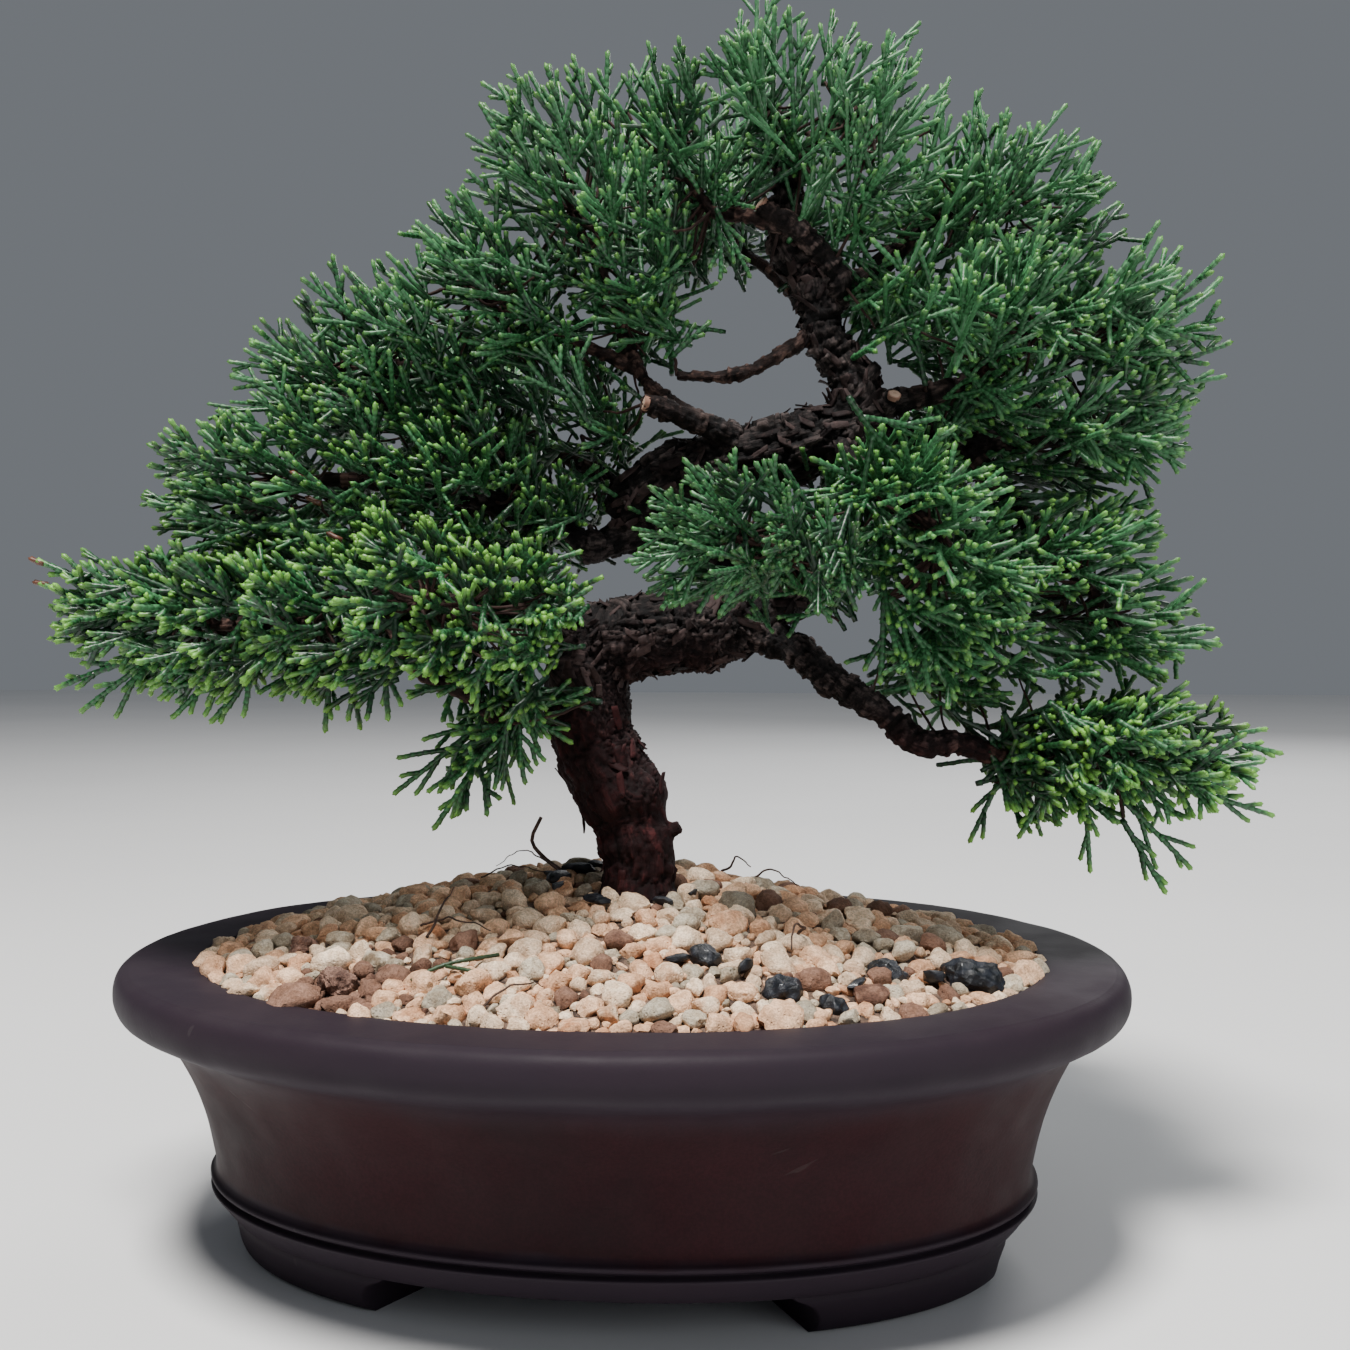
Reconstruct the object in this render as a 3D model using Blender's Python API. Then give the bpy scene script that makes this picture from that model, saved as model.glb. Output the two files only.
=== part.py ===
"""A juniper grown as a bonsai in an unglazed oval pot.

Metres, +Z up. The pot's long side lies along X and its front faces -Y. The tree is potted turned a
little from the pot's long side, so its layout is given in its own front view and turned into place.
"""

import math
import random

import bmesh
import bpy
import numpy as np
from mathutils import Matrix, Vector, noise

MM = 0.001

# Overall sizes
POT_LENGTH = 0.206
POT_WIDTH = 0.160
POT_HEIGHT = 0.060
TREE_HEIGHT = 0.2530

# Pot
OVAL_POWER = 2.1
WALL = 0.0062
FLOOR_UNDERSIDE = 0.0080
FLOOR_THICKNESS = 0.0056
FOOT_START_DEG = 18.0
FOOT_END_DEG = 60.0
FOOT_DEPTH = 0.0145
DRAIN_DIAMETER = 0.014
DRAIN_SPACING = 0.076

# Fill
GAP = 0.0003
SOIL_EDGE_BELOW_RIM = 0.0100
DRESSING_EDGE_BELOW_RIM = 0.0016
MOUND_RISE = 0.0160
MOUND_PEAK = (-0.004, 0.010)
GRAIN_BUMP = 0.0010

# Tree
FRONT_TURN_DEG = 6.1
TRUNK_DIAMETER = 0.0172
PAD_FULLNESS = 1.24
PAD_GAP = 0.0008
PAD_DETAIL = 0.0092
DESIGN_TREE_HEIGHT = 0.2530
DESIGN_TRUNK_DIAMETER = 0.0172

SEED = 11


# ---------------------------------------------------------------- materials

def material(name, colour, roughness, metallic=0.0):
    made = bpy.data.materials.new(name)
    made.use_nodes = True
    shader = made.node_tree.nodes["Principled BSDF"]
    shader.inputs["Base Color"].default_value = (*colour, 1.0)
    shader.inputs["Roughness"].default_value = roughness
    shader.inputs["Metallic"].default_value = metallic
    made.diffuse_color = (*colour, 1.0)
    return made


# ---------------------------------------------------------------- mesh helpers

def add_object(name, points, faces, finish=None):
    mesh = bpy.data.meshes.new(name)
    mesh.from_pydata([tuple(p) for p in points], [], faces)
    mesh.validate()
    made = bpy.data.objects.new(name, mesh)
    bpy.context.scene.collection.objects.link(made)
    if finish is not None:
        mesh.materials.append(finish)
    return made


def face_outward(made):
    """Splits every face into triangles, which cut cleanly, and turns them all outward."""
    shape = bmesh.new()
    shape.from_mesh(made.data)
    bmesh.ops.triangulate(shape, faces=shape.faces)
    bmesh.ops.recalc_face_normals(shape, faces=shape.faces)
    if shape.calc_volume(signed=True) < 0:
        bmesh.ops.reverse_faces(shape, faces=shape.faces)
    shape.to_mesh(made.data)
    shape.free()


def smooth(made, angle_deg=40.0):
    made.data.shade_smooth()
    made.data.set_sharp_from_angle(angle=math.radians(angle_deg))


def freeze(made):
    """Replaces the object's mesh with the one its modifiers make."""
    graph = bpy.context.evaluated_depsgraph_get()
    frozen = bpy.data.meshes.new_from_object(made.evaluated_get(graph))
    made.modifiers.clear()
    old = made.data
    made.data = frozen
    frozen.name = made.name
    bpy.data.meshes.remove(old)


def combine(made, other, operation, keep=False):
    step = made.modifiers.new(operation.title(), "BOOLEAN")
    step.operation = operation
    step.solver = "EXACT"
    step.object = other
    other.hide_render = True
    other.display_type = "WIRE"
    bpy.context.view_layer.update()
    freeze(made)
    if not keep:
        bpy.data.objects.remove(other)


def clean(made, only_largest=False):
    """Closes hairline slivers left by a cut and, if asked, drops crumbs."""
    shape = bmesh.new()
    shape.from_mesh(made.data)
    bmesh.ops.remove_doubles(shape, verts=shape.verts, dist=2e-6)
    bmesh.ops.dissolve_degenerate(shape, edges=shape.edges, dist=2e-6)
    if only_largest:
        left = set(shape.faces)
        bodies = []
        for start in shape.faces:
            if start not in left:
                continue
            left.discard(start)
            body = [start]
            for face in body:
                for edge in face.edges:
                    for there in edge.link_faces:
                        if there in left:
                            left.discard(there)
                            body.append(there)
            bodies.append(body)
        bodies.sort(key=lambda body: sum(face.calc_area() for face in body), reverse=True)
        crumbs = [face for body in bodies[1:] for face in body]
        bmesh.ops.delete(shape, geom=crumbs, context="FACES")
    shape.to_mesh(made.data)
    shape.free()
    face_outward(made)


def stack(rings, closed_top=True):
    """Faces of a solid lofted through equal rings, capped at both ends."""
    count = len(rings[0])
    points = [p for ring in rings for p in ring]
    faces = []
    for level in range(len(rings) - 1):
        low = level * count
        high = low + count
        for i in range(count):
            j = (i + 1) % count
            faces.append((low + i, low + j, high + j, high + i))
    faces.append(tuple(reversed(range(count))))
    if closed_top:
        last = (len(rings) - 1) * count
        faces.append(tuple(range(last, last + count)))
    return points, faces


def cylinder(name, radius, low, high, centre, sides=20):
    rings = []
    for z in (low, high):
        ring = []
        for i in range(sides):
            angle = 2 * math.pi * i / sides
            ring.append((centre[0] + radius * math.cos(angle), centre[1] + radius * math.sin(angle), z))
        rings.append(ring)
    made = add_object(name, *stack(rings))
    face_outward(made)
    return made


def box(name, size, centre):
    made = add_object(
        name,
        *stack([
            [(centre[0] + x * size[0] / 2, centre[1] + y * size[1] / 2, centre[2] + z * size[2] / 2)
             for x, y in ((-1, -1), (1, -1), (1, 1), (-1, 1))]
            for z in (-1, 1)
        ]),
    )
    face_outward(made)
    return made


def curve_through(knots, per_span):
    """Catmull-Rom points through knots of (x, y, z, radius)."""
    ends = [2 * knots[0] - knots[1]] + list(knots) + [2 * knots[-1] - knots[-2]]
    out = []
    for i in range(1, len(ends) - 2):
        a, b, c, d = ends[i - 1], ends[i], ends[i + 1], ends[i + 2]
        for k in range(per_span):
            t = k / per_span
            out.append(
                0.5 * (2 * b + (c - a) * t + (2 * a - 5 * b + 4 * c - d) * t * t
                       + (3 * b - a - 3 * c + d) * t ** 3)
            )
    out.append(knots[-1])
    return out


def tube(name, knots, sides, per_span=3, knobs=0.0, grow=0.0, finish=None):
    """A solid swept along knots, its radius roughened by knobs and enlarged by grow."""
    path = curve_through([np.array(k, float) for k in knots], per_span)
    places = [Vector(p[:3]) for p in path]
    radii = [max(float(p[3]), 0.0002) for p in path]
    headings = []
    for i in range(len(places)):
        ahead = places[min(i + 1, len(places) - 1)]
        behind = places[max(i - 1, 0)]
        headings.append((ahead - behind).normalized())
    side = headings[0].orthogonal().normalized()
    rings = []
    last = len(places) - 1
    for k, (place, radius, heading) in enumerate(zip(places, radii, headings)):
        reach = heading * (grow * ((k == last) - (k == 0)))
        side = (side - heading * side.dot(heading)).normalized()
        other = heading.cross(side)
        ring = []
        for i in range(sides):
            angle = 2 * math.pi * i / sides
            out = side * math.cos(angle) + other * math.sin(angle)
            rough = noise.noise((place + out * radius) * 210.0) + 0.5 * noise.noise((place + out * radius) * 520.0)
            ring.append(place + reach + out * (radius * (1 + knobs * rough) + grow))
        rings.append(ring)
    made = add_object(name, *stack(rings), finish)
    face_outward(made)
    return made


# ---------------------------------------------------------------- pot

def oval(length, width, height, count, power=OVAL_POWER, shift=(0.0, 0.0)):
    ring = []
    for i in range(count):
        angle = 2 * math.pi * i / count
        c, s = math.cos(angle), math.sin(angle)
        x = math.copysign(abs(c) ** (2 / power), c) * length
        y = math.copysign(abs(s) ** (2 / power), s) * width
        ring.append((shift[0] + x, shift[1] + y, height))
    return ring


# Height above the floor, then how far the outside stands in from the rim's edge at an end and at a side.
OUTSIDE = (
    (8.0, 28.0, 36.0), (7.5, 20.8, 27.2), (8.2, 18.9, 24.6), (9.3, 17.6, 23.1), (11.2, 17.0, 22.3),
    (13.3, 17.1, 22.3), (15.1, 17.9, 23.0), (16.1, 18.9, 23.9), (16.7, 20.0, 25.0), (17.2, 19.4, 24.4),
    (17.9, 18.9, 23.9), (18.6, 19.4, 24.4), (19.4, 19.8, 25.1), (22.5, 18.9, 24.6), (28.0, 16.7, 22.7),
    (33.0, 14.9, 20.6), (38.0, 13.0, 17.8), (43.0, 11.1, 14.2), (46.0, 9.8, 11.6), (47.6, 8.2, 9.2),
    (49.2, 5.2, 5.6), (50.8, 2.2, 2.4), (52.4, 0.7, 0.8), (54.8, 0.0, 0.0), (57.2, 0.2, 0.2),
    (58.9, 1.0, 1.0), (59.8, 2.4, 2.4), (60.0, 4.2, 4.2), (59.7, 15.0, 14.6), (59.2, 16.2, 15.8),
    (58.0, 16.9, 16.5),
)
INSIDE = ((45.0, 0.4), (38.0, 0.0), (33.0, 0.0), (28.0, 0.0), (22.5, 0.0), (17.0, 1.5), (14.6, 3.0))


def outside_inset(height):
    body = list(OUTSIDE[13:19]) + [(58.0, 9.8, 11.6)]
    zs = [row[0] for row in body]
    return np.interp(height, zs, [r[1] for r in body]), np.interp(height, zs, [r[2] for r in body])


def inside_profile():
    """Rows of height, half length and half width of the pot's inner wall, from the rim down."""
    rise = POT_HEIGHT / 60.0
    rows = []
    for height, extra in ((58.0, None),) + INSIDE:
        if extra is None:
            rows.append((58.0 * rise, POT_LENGTH / 2 - 16.9 * MM, POT_WIDTH / 2 - 16.5 * MM))
            continue
        end, side = outside_inset(height)
        inner = WALL + extra * MM
        rows.append((height * rise, POT_LENGTH / 2 - end * MM - inner, POT_WIDTH / 2 - side * MM - inner))
    return rows


def inner_size(height):
    rows = inside_profile()[::-1]
    zs = [row[0] for row in rows]
    return np.interp(height, zs, [r[1] for r in rows]), np.interp(height, zs, [r[2] for r in rows])


def floor_top():
    return FLOOR_UNDERSIDE + FLOOR_THICKNESS


def make_pot(finish):
    rise = POT_HEIGHT / 60.0
    sides = 42
    rings = []
    for height, end, side in OUTSIDE:
        z = height * rise if height > 9 else FLOOR_UNDERSIDE + (height - 8.0) * MM
        rings.append(oval(POT_LENGTH / 2 - end * MM, POT_WIDTH / 2 - side * MM, z, sides))
    for z, length, width in inside_profile()[1:]:
        rings.append(oval(length, width, max(z, floor_top() + 0.001), sides))
    last = inside_profile()[-1]
    rings.append(oval(last[1] - 0.0025, last[2] - 0.0025, floor_top(), sides))
    pot = add_object("pot", *stack(rings), finish)
    face_outward(pot)
    for mirror_x in (1, -1):
        for mirror_y in (1, -1):
            combine(pot, make_foot(mirror_x, mirror_y), "UNION")
    for sign in (1, -1):
        centre = (sign * DRAIN_SPACING / 2, 0.0)
        hole = cylinder("drain", DRAIN_DIAMETER / 2, FLOOR_UNDERSIDE - 0.01, floor_top() + 0.01, centre)
        combine(pot, hole, "DIFFERENCE")
    clean(pot)
    smooth(pot, 32)
    return pot


def make_foot(mirror_x, mirror_y):
    """A rounded block under the belt that sweeps out to the belt at its ends."""
    levels = (
        (0.0, 23.0, 30.9, 0.5), (0.9, 21.6, 29.4, -0.3), (2.4, 21.0, 28.8, -0.6), (4.4, 21.0, 28.6, -0.2),
        (6.0, 21.3, 28.6, 1.0), (7.2, 21.9, 29.0, 3.0), (9.4, 22.6, 29.6, 5.5),
    )
    rings = []
    for z, end, side, sweep in levels:
        height = z * MM if z < 9 else FLOOR_UNDERSIDE + 0.0014
        length = POT_LENGTH / 2 - end * MM
        width = POT_WIDTH / 2 - side * MM
        first = math.radians(FOOT_START_DEG - sweep)
        last = math.radians(FOOT_END_DEG + sweep)
        outer, inner = [], []
        for k in range(8):
            angle = first + (last - first) * k / 7
            c = math.cos(angle) ** (2 / OVAL_POWER)
            s = math.sin(angle) ** (2 / OVAL_POWER)
            outer.append((mirror_x * length * c, mirror_y * width * s, height))
            deep = FOOT_DEPTH - (0.0012 if z == 0 else 0.0)
            inner.append((mirror_x * (length - deep) * c, mirror_y * (width - deep) * s, height))
        rings.append(outer + inner[::-1])
    foot = add_object("foot", *stack(rings))
    face_outward(foot)
    return foot


# ---------------------------------------------------------------- drain screens

def make_screen(name, centre_x, finish):
    """A square of plastic mesh: a thin plate pierced by a grid of square holes."""
    across, opening, bar, thick = 3, 0.0040, 0.0012, 0.0008
    edges = [0.0]
    for _ in range(across):
        edges.append(edges[-1] + bar)
        edges.append(edges[-1] + opening)
    edges.append(edges[-1] + bar)
    half = edges[-1] / 2
    cuts = [e - half for e in edges]
    low = floor_top() + GAP
    count = len(cuts)
    points = [(centre_x + x, y, z) for z in (low, low + thick) for y in cuts for x in cuts]
    layer = count * count

    def hole(i, j):
        return i % 2 == 1 and j % 2 == 1

    faces = []
    for j in range(count - 1):
        for i in range(count - 1):
            if hole(i, j):
                continue
            a = j * count + i
            b, c, d = a + 1, a + count + 1, a + count
            faces.append((a + layer, b + layer, c + layer, d + layer))
            faces.append((d, c, b, a))
            for (p, q), (ni, nj) in (((a, b), (i, j - 1)), ((b, c), (i + 1, j)),
                                     ((c, d), (i, j + 1)), ((d, a), (i - 1, j))):
                outside = not (0 <= ni < count - 1 and 0 <= nj < count - 1)
                if outside or hole(ni, nj):
                    faces.append((p, q, q + layer, p + layer))
    made = add_object(name, points, faces, finish)
    face_outward(made)
    return made


def make_clip(name, centre_x, finish):
    """A staple of wire over the screen whose legs spread under the floor."""
    radius = 0.0005
    under = FLOOR_UNDERSIDE - GAP - radius
    over = floor_top() + GAP + 0.0008 + GAP + radius
    leg = 0.005
    knots = [
        (-0.0110, under), (-leg - 0.0012, under), (-leg, under + 0.0012), (-leg, over - 0.0012),
        (-leg + 0.0012, over), (leg - 0.0012, over), (leg, over - 0.0012), (leg, under + 0.0012),
        (leg + 0.0012, under), (0.0110, under),
    ]
    made = tube(name, [(centre_x + x, 0.0, z, radius) for x, z in knots], 8, per_span=1, finish=finish)
    smooth(made)
    return made


# ---------------------------------------------------------------- soil and dressing

def turned(x, y):
    """A place in the tree's own front view, turned to how it is potted."""
    angle = math.radians(FRONT_TURN_DEG)
    return x * math.cos(angle) - y * math.sin(angle), x * math.sin(angle) + y * math.cos(angle)


def soil_height(scale):
    """Height of the soil's surface, from 1 at the wall to 0 at the middle."""
    edge = POT_HEIGHT - SOIL_EDGE_BELOW_RIM
    return edge + 0.011 * (1 - scale)


def make_soil(finish):
    sides = 32
    rings = []
    low = floor_top() + GAP
    top = POT_HEIGHT - SOIL_EDGE_BELOW_RIM
    for k in range(7):
        z = low + (top - low) * k / 6
        length, width = inner_size(z)
        inset = GAP + (0.0030 if k == 0 else 0.0004)
        rings.append(oval(length - inset, width - inset, z, sides))
    length, width = inner_size(top)
    for scale in (0.84, 0.66, 0.48, 0.3, 0.12):
        rings.append(oval((length - GAP) * scale, (width - GAP) * scale, soil_height(scale), sides))
    soil = add_object("soil", *stack(rings), finish)
    face_outward(soil)
    for sign in (1, -1):
        hollow = (0.0232, 0.0178, 0.0060)
        centre = (sign * DRAIN_SPACING / 2, 0.0, low + 0.0002)
        combine(soil, box("recess", hollow, centre), "DIFFERENCE")
    return soil


def dressing_height(x, y):
    """Height of the heaped grains over a place in the pot."""
    peak = turned(*MOUND_PEAK)
    length, width = inner_size(POT_HEIGHT)
    edge = POT_HEIGHT - DRESSING_EDGE_BELOW_RIM
    ray = Vector((x - peak[0], y - peak[1]))
    reach = ray.length
    if reach < 1e-6:
        return edge + MOUND_RISE
    heading = ray / reach
    low, high = 0.0, length * 2.5
    for _ in range(30):
        mid = (low + high) / 2
        px, py = peak[0] + heading.x * mid, peak[1] + heading.y * mid
        inside = abs(px / length) ** OVAL_POWER + abs(py / width) ** OVAL_POWER < 1
        low, high = (mid, high) if inside else (low, mid)
    scale = reach / low
    slope = 1 - (scale * scale + 0.010) ** 0.62
    return edge + MOUND_RISE * max(slope, 0.0) * 1.06


def make_dressing(finish):
    sides = 50
    peak = turned(*MOUND_PEAK)
    edge = POT_HEIGHT - DRESSING_EDGE_BELOW_RIM
    low_length, low_width = inner_size(POT_HEIGHT - SOIL_EDGE_BELOW_RIM)
    rings = []
    for scale in (0.12, 0.48, 0.84, 1.0):
        inset = GAP + (0.0004 if scale == 1.0 else 0.0)
        length = (low_length - inset) * scale
        width = (low_width - inset) * scale
        rings.append(oval(length, width, soil_height(scale) + GAP, sides))
    length, width = inner_size(edge)
    rings.append(oval(length - GAP - 0.0002, width - GAP - 0.0002, edge, sides))
    steps = 10
    for step in range(1, steps):
        scale = 1 - step / steps
        shift = (peak[0] * (1 - scale), peak[1] * (1 - scale))
        ring = []
        for x, y, _ in oval((length - GAP) * scale, (width - GAP) * scale, 0.0, sides, shift=shift):
            bump = noise.noise(Vector((x, y, 0.0)) * 260.0) * 1.6
            ring.append((x, y, dressing_height(x, y) + GRAIN_BUMP * bump))
        rings.append(ring)
    made = add_object("dressing", *stack(rings), finish)
    face_outward(made)
    return made


def lump_points(rng, size, flat):
    points = []
    while len(points) < 22:
        p = Vector((rng.uniform(-1, 1), rng.uniform(-1, 1), rng.uniform(-1, 1)))
        if 0.62 < p.length < 1.0:
            points.append(Vector((p.x * size, p.y * size * 0.8, p.z * size * flat)))
    return points


def hull(name, points, finish=None):
    shape = bmesh.new()
    for p in points:
        shape.verts.new(p)
    bmesh.ops.convex_hull(shape, input=shape.verts)
    bmesh.ops.delete(shape, geom=[v for v in shape.verts if not v.link_faces], context="VERTS")
    mesh = bpy.data.meshes.new(name)
    shape.to_mesh(mesh)
    shape.free()
    made = bpy.data.objects.new(name, mesh)
    bpy.context.scene.collection.objects.link(made)
    if finish is not None:
        mesh.materials.append(finish)
    face_outward(made)
    return made


# Name, place in the tree's front view and size of each loose piece.
CHARCOAL = (
    ("charcoal_1", 17, -37, 3.0, 0.7), ("charcoal_2", 30, -48, 4.2, 0.6), ("charcoal_3", 39, -52, 2.6, 0.7),
    ("charcoal_4", 51, -35, 4.0, 0.6), ("charcoal_5", 67, -34, 6.4, 0.6),
)
LAVA = (("lava_1", -51, -40, 6.2, 0.6), ("lava_2", -63, -16, 4.0, 0.7))


def make_lumps(dressing, rows, finish, rng):
    for name, x, y, size, flat in rows:
        px, py = turned(x * MM, y * MM)
        centre = Vector((px, py, dressing_height(px, py) + size * flat * 0.25 * MM))
        points = lump_points(rng, size * MM, flat)
        combine(dressing, hull("pocket", [centre + p * (1 + 0.45 / size) for p in points]), "DIFFERENCE")
        hull(name, [centre + p for p in points], finish)


# ---------------------------------------------------------------- wood

# Rows of x, y, height and radius in millimetres, in the tree's own front view, for a tree 253 mm tall.
# The trunk turns too sharply for one sweep, so it is swept in sections that overlap at its bends.
TRUNK = (
    ((5, -4, 34, 4.5), (4, -5, 48, 7.4), (4, -5, 60, 9.4), (4, -5, 68, 8.5), (4, -4, 80, 7.3), (1, -3, 90, 8.3),
     (-3, -1, 97, 8.8), (-6, 0, 105, 8.6), (-7, 0, 114, 8.8), (-6, 0, 122, 8.2), (-4, 0, 129, 5.6)),
    ((-11, 0, 120, 6.2), (-3, 0, 124, 8.4), (6, 0, 125.5, 8.2), (15, 2, 126, 7.6), (25, 5, 129, 7.2),
     (33, 8, 134, 6.7), (38, 10, 139, 4.6)),
    ((37, 9, 132, 5.0), (33, 12, 140, 6.5), (21, 14, 146, 6.2), (11, 12, 150, 6.3), (2, 11, 153, 5.0)),
    ((-1, 11, 151, 4.6), (5, 9, 155, 6.4), (12, 6, 159, 6.8), (25, 3, 162, 6.8), (38, 1, 165, 6.8),
     (46, 0, 168, 6.2), (52, -1, 171, 4.2)),
    ((46, 1, 164, 4.8), (49, 0, 172, 5.5), (48, 0, 179, 4.8), (43, 0, 186, 4.1), (41, 0, 194, 4.2),
     (39, 1, 201, 4.4), (35, 2, 208, 3.7), (35, 2, 216, 3.1), (34, 2, 224, 2.1), (34, 2, 234, 1.2)),
)
BRANCHES = {
    "root_left": ((3, -5, 61, 4.2), (-8, -6, 57, 2.8), (-22, -9, 48, 1.4)),
    "root_right": ((5, -6, 62, 3.9), (15, -8, 57, 2.8), (30, -12, 46, 1.4)),
    "root_back": ((4, -3, 63, 4.0), (1, 10, 56, 2.8), (-3, 22, 44, 1.4)),
    "left_low": ((-4, 0, 123, 4.6), (-15, -4, 130, 3.4), (-30, -12, 133, 2.8), (-46, -18, 133, 2.2),
                 (-72, -18, 128, 1.5), (-90, -12, 129, 0.9)),
    "left_front": ((-30, -12, 133, 2.2), (-34, -24, 131, 1.8), (-36, -36, 132, 1.2)),
    "hanging": ((-46, -18, 133, 1.6), (-40, -20, 120, 1.5), (-28, -19, 113, 1.3), (-23, -17, 106, 0.8)),
    "left_mid": ((8, 12, 149, 4.2), (-7, 8, 145, 3.2), (-17, 4, 150, 2.8), (-38, 2, 156, 2.2),
                 (-61, 2, 158, 1.5), (-80, 4, 154, 0.9)),
    "left_upper": ((-17, 4, 150, 2.2), (-30, 6, 169, 1.9), (-45, 6, 182, 1.5), (-64, 6, 182, 0.9)),
    "stub": ((31, 3, 163, 3.4), (20, -3, 168, 2.4), (8, -7, 172, 2.0), (5, -8, 172.6, 1.9)),
    "top_left": ((17, -4, 169, 1.9), (6, 2, 178, 1.5), (1, 4, 187, 1.4), (-2, 4, 198, 1.2), (-11, 4, 214, 0.9)),
    "slope": ((4, 3, 181, 1.5), (-9, 4, 187, 1.2), (-25, 0, 193, 0.9), (-33, 0, 199, 0.8)),
    "thin_left": ((42, 0, 189, 2.0), (31, -2, 182, 1.5), (22, -2, 179, 1.3), (12, -2, 179, 1.0)),
    "red_side": ((40, 0, 197, 3.0), (45, -3, 198, 2.6), (40, -5, 205, 2.3), (34, -6, 209, 2.2), (29, -6, 213, 2.1)),
    "apex_left": ((35, -5, 209, 1.8), (26, -4, 211, 1.5), (19, -2, 213, 1.2), (12, 2, 224, 0.8)),
    "apex_right": ((35, 2, 219, 1.9), (40, 0, 228, 1.5), (48, -2, 235, 0.9)),
    "right_top": ((42, 0, 193, 2.8), (55, 6, 204, 2.1), (66, 8, 214, 1.6), (80, 8, 219, 0.9)),
    "right_upper": ((49, 0, 171, 3.2), (57, -2, 174, 2.6), (70, -4, 177, 1.9), (84, -4, 188, 1.4), (104, 0, 190, 0.8)),
    "right_mid": ((48, 2, 168, 4.2), (59, 6, 168, 3.3), (72, 8, 167, 2.6), (86, 8, 167, 2.0), (103, 6, 169, 1.0)),
    "right_low": ((72, 8, 167, 2.4), (83, 8, 154, 2.0), (93, 6, 142, 1.6), (105, 4, 129, 0.9)),
    "lower_right": ((24, 5, 128, 4.6), (35, 0, 123, 3.5), (43, -4, 117, 3.3), (52, -7, 111, 3.0),
                    (60, -9, 104, 2.9), (68, -9, 104, 2.4), (76, -8, 101, 2.0), (86, -7, 99, 1.6),
                    (107, -4, 100, 0.9)),
    "front": ((33, 8, 135, 2.8), (36, -12, 138, 2.2), (30, -28, 142, 1.7), (22, -38, 144, 0.9)),
    "right_front": ((44, 0, 167, 2.8), (49, -14, 158, 2.2), (55, -24, 151, 1.6), (62, -30, 144, 0.9)),
    "back_left": ((6, 12, 154, 2.6), (-8, 30, 163, 2.0), (-30, 46, 175, 1.2)),
    "back_right": ((48, 3, 170, 2.8), (64, 24, 169, 2.2), (86, 44, 167, 1.2)),
    "back_top": ((41, 2, 193, 2.0), (32, 20, 206, 1.5), (17, 36, 220, 0.9)),
    "knob": ((8, -4, 84, 2.5), (12.5, -5, 86.5, 1.2)),
    "heel": ((-4, 0, 116, 5.0), (-12, -2, 119, 2.6)),
    "spur": ((46, 0, 172, 2.5), (53, -4, 181, 1.2)),
}


def tree_place(row):
    """A row of the layout, scaled to this tree and turned into place."""
    size = TREE_HEIGHT / DESIGN_TREE_HEIGHT
    x, y = turned(row[0] * MM * size, row[1] * MM * size)
    rim = POT_HEIGHT
    return x, y, rim + (row[2] * MM - 0.060) * size


def wood_knots(rows):
    girth = TRUNK_DIAMETER / DESIGN_TRUNK_DIAMETER
    return [(*tree_place(row), row[3] * MM * girth) for row in rows]


def make_wood(name, finish=None, grow=0.0):
    wood = tube(name, wood_knots(TRUNK[0]), 11, per_span=2, knobs=0.26, grow=grow, finish=finish)
    for rows in TRUNK[1:]:
        section = tube("section", wood_knots(rows), 10, per_span=2, knobs=0.26, grow=grow)
        combine(wood, section, "UNION")
    for part, rows in BRANCHES.items():
        sides = 7 if rows[0][3] > 2.5 else 5
        per_span = 2 if len(rows) < 5 else 1
        limb = tube(part, wood_knots(rows), sides, per_span=per_span, knobs=0.16, grow=grow)
        combine(wood, limb, "UNION")
    clean(wood, only_largest=True)
    return wood


# ---------------------------------------------------------------- foliage

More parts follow.
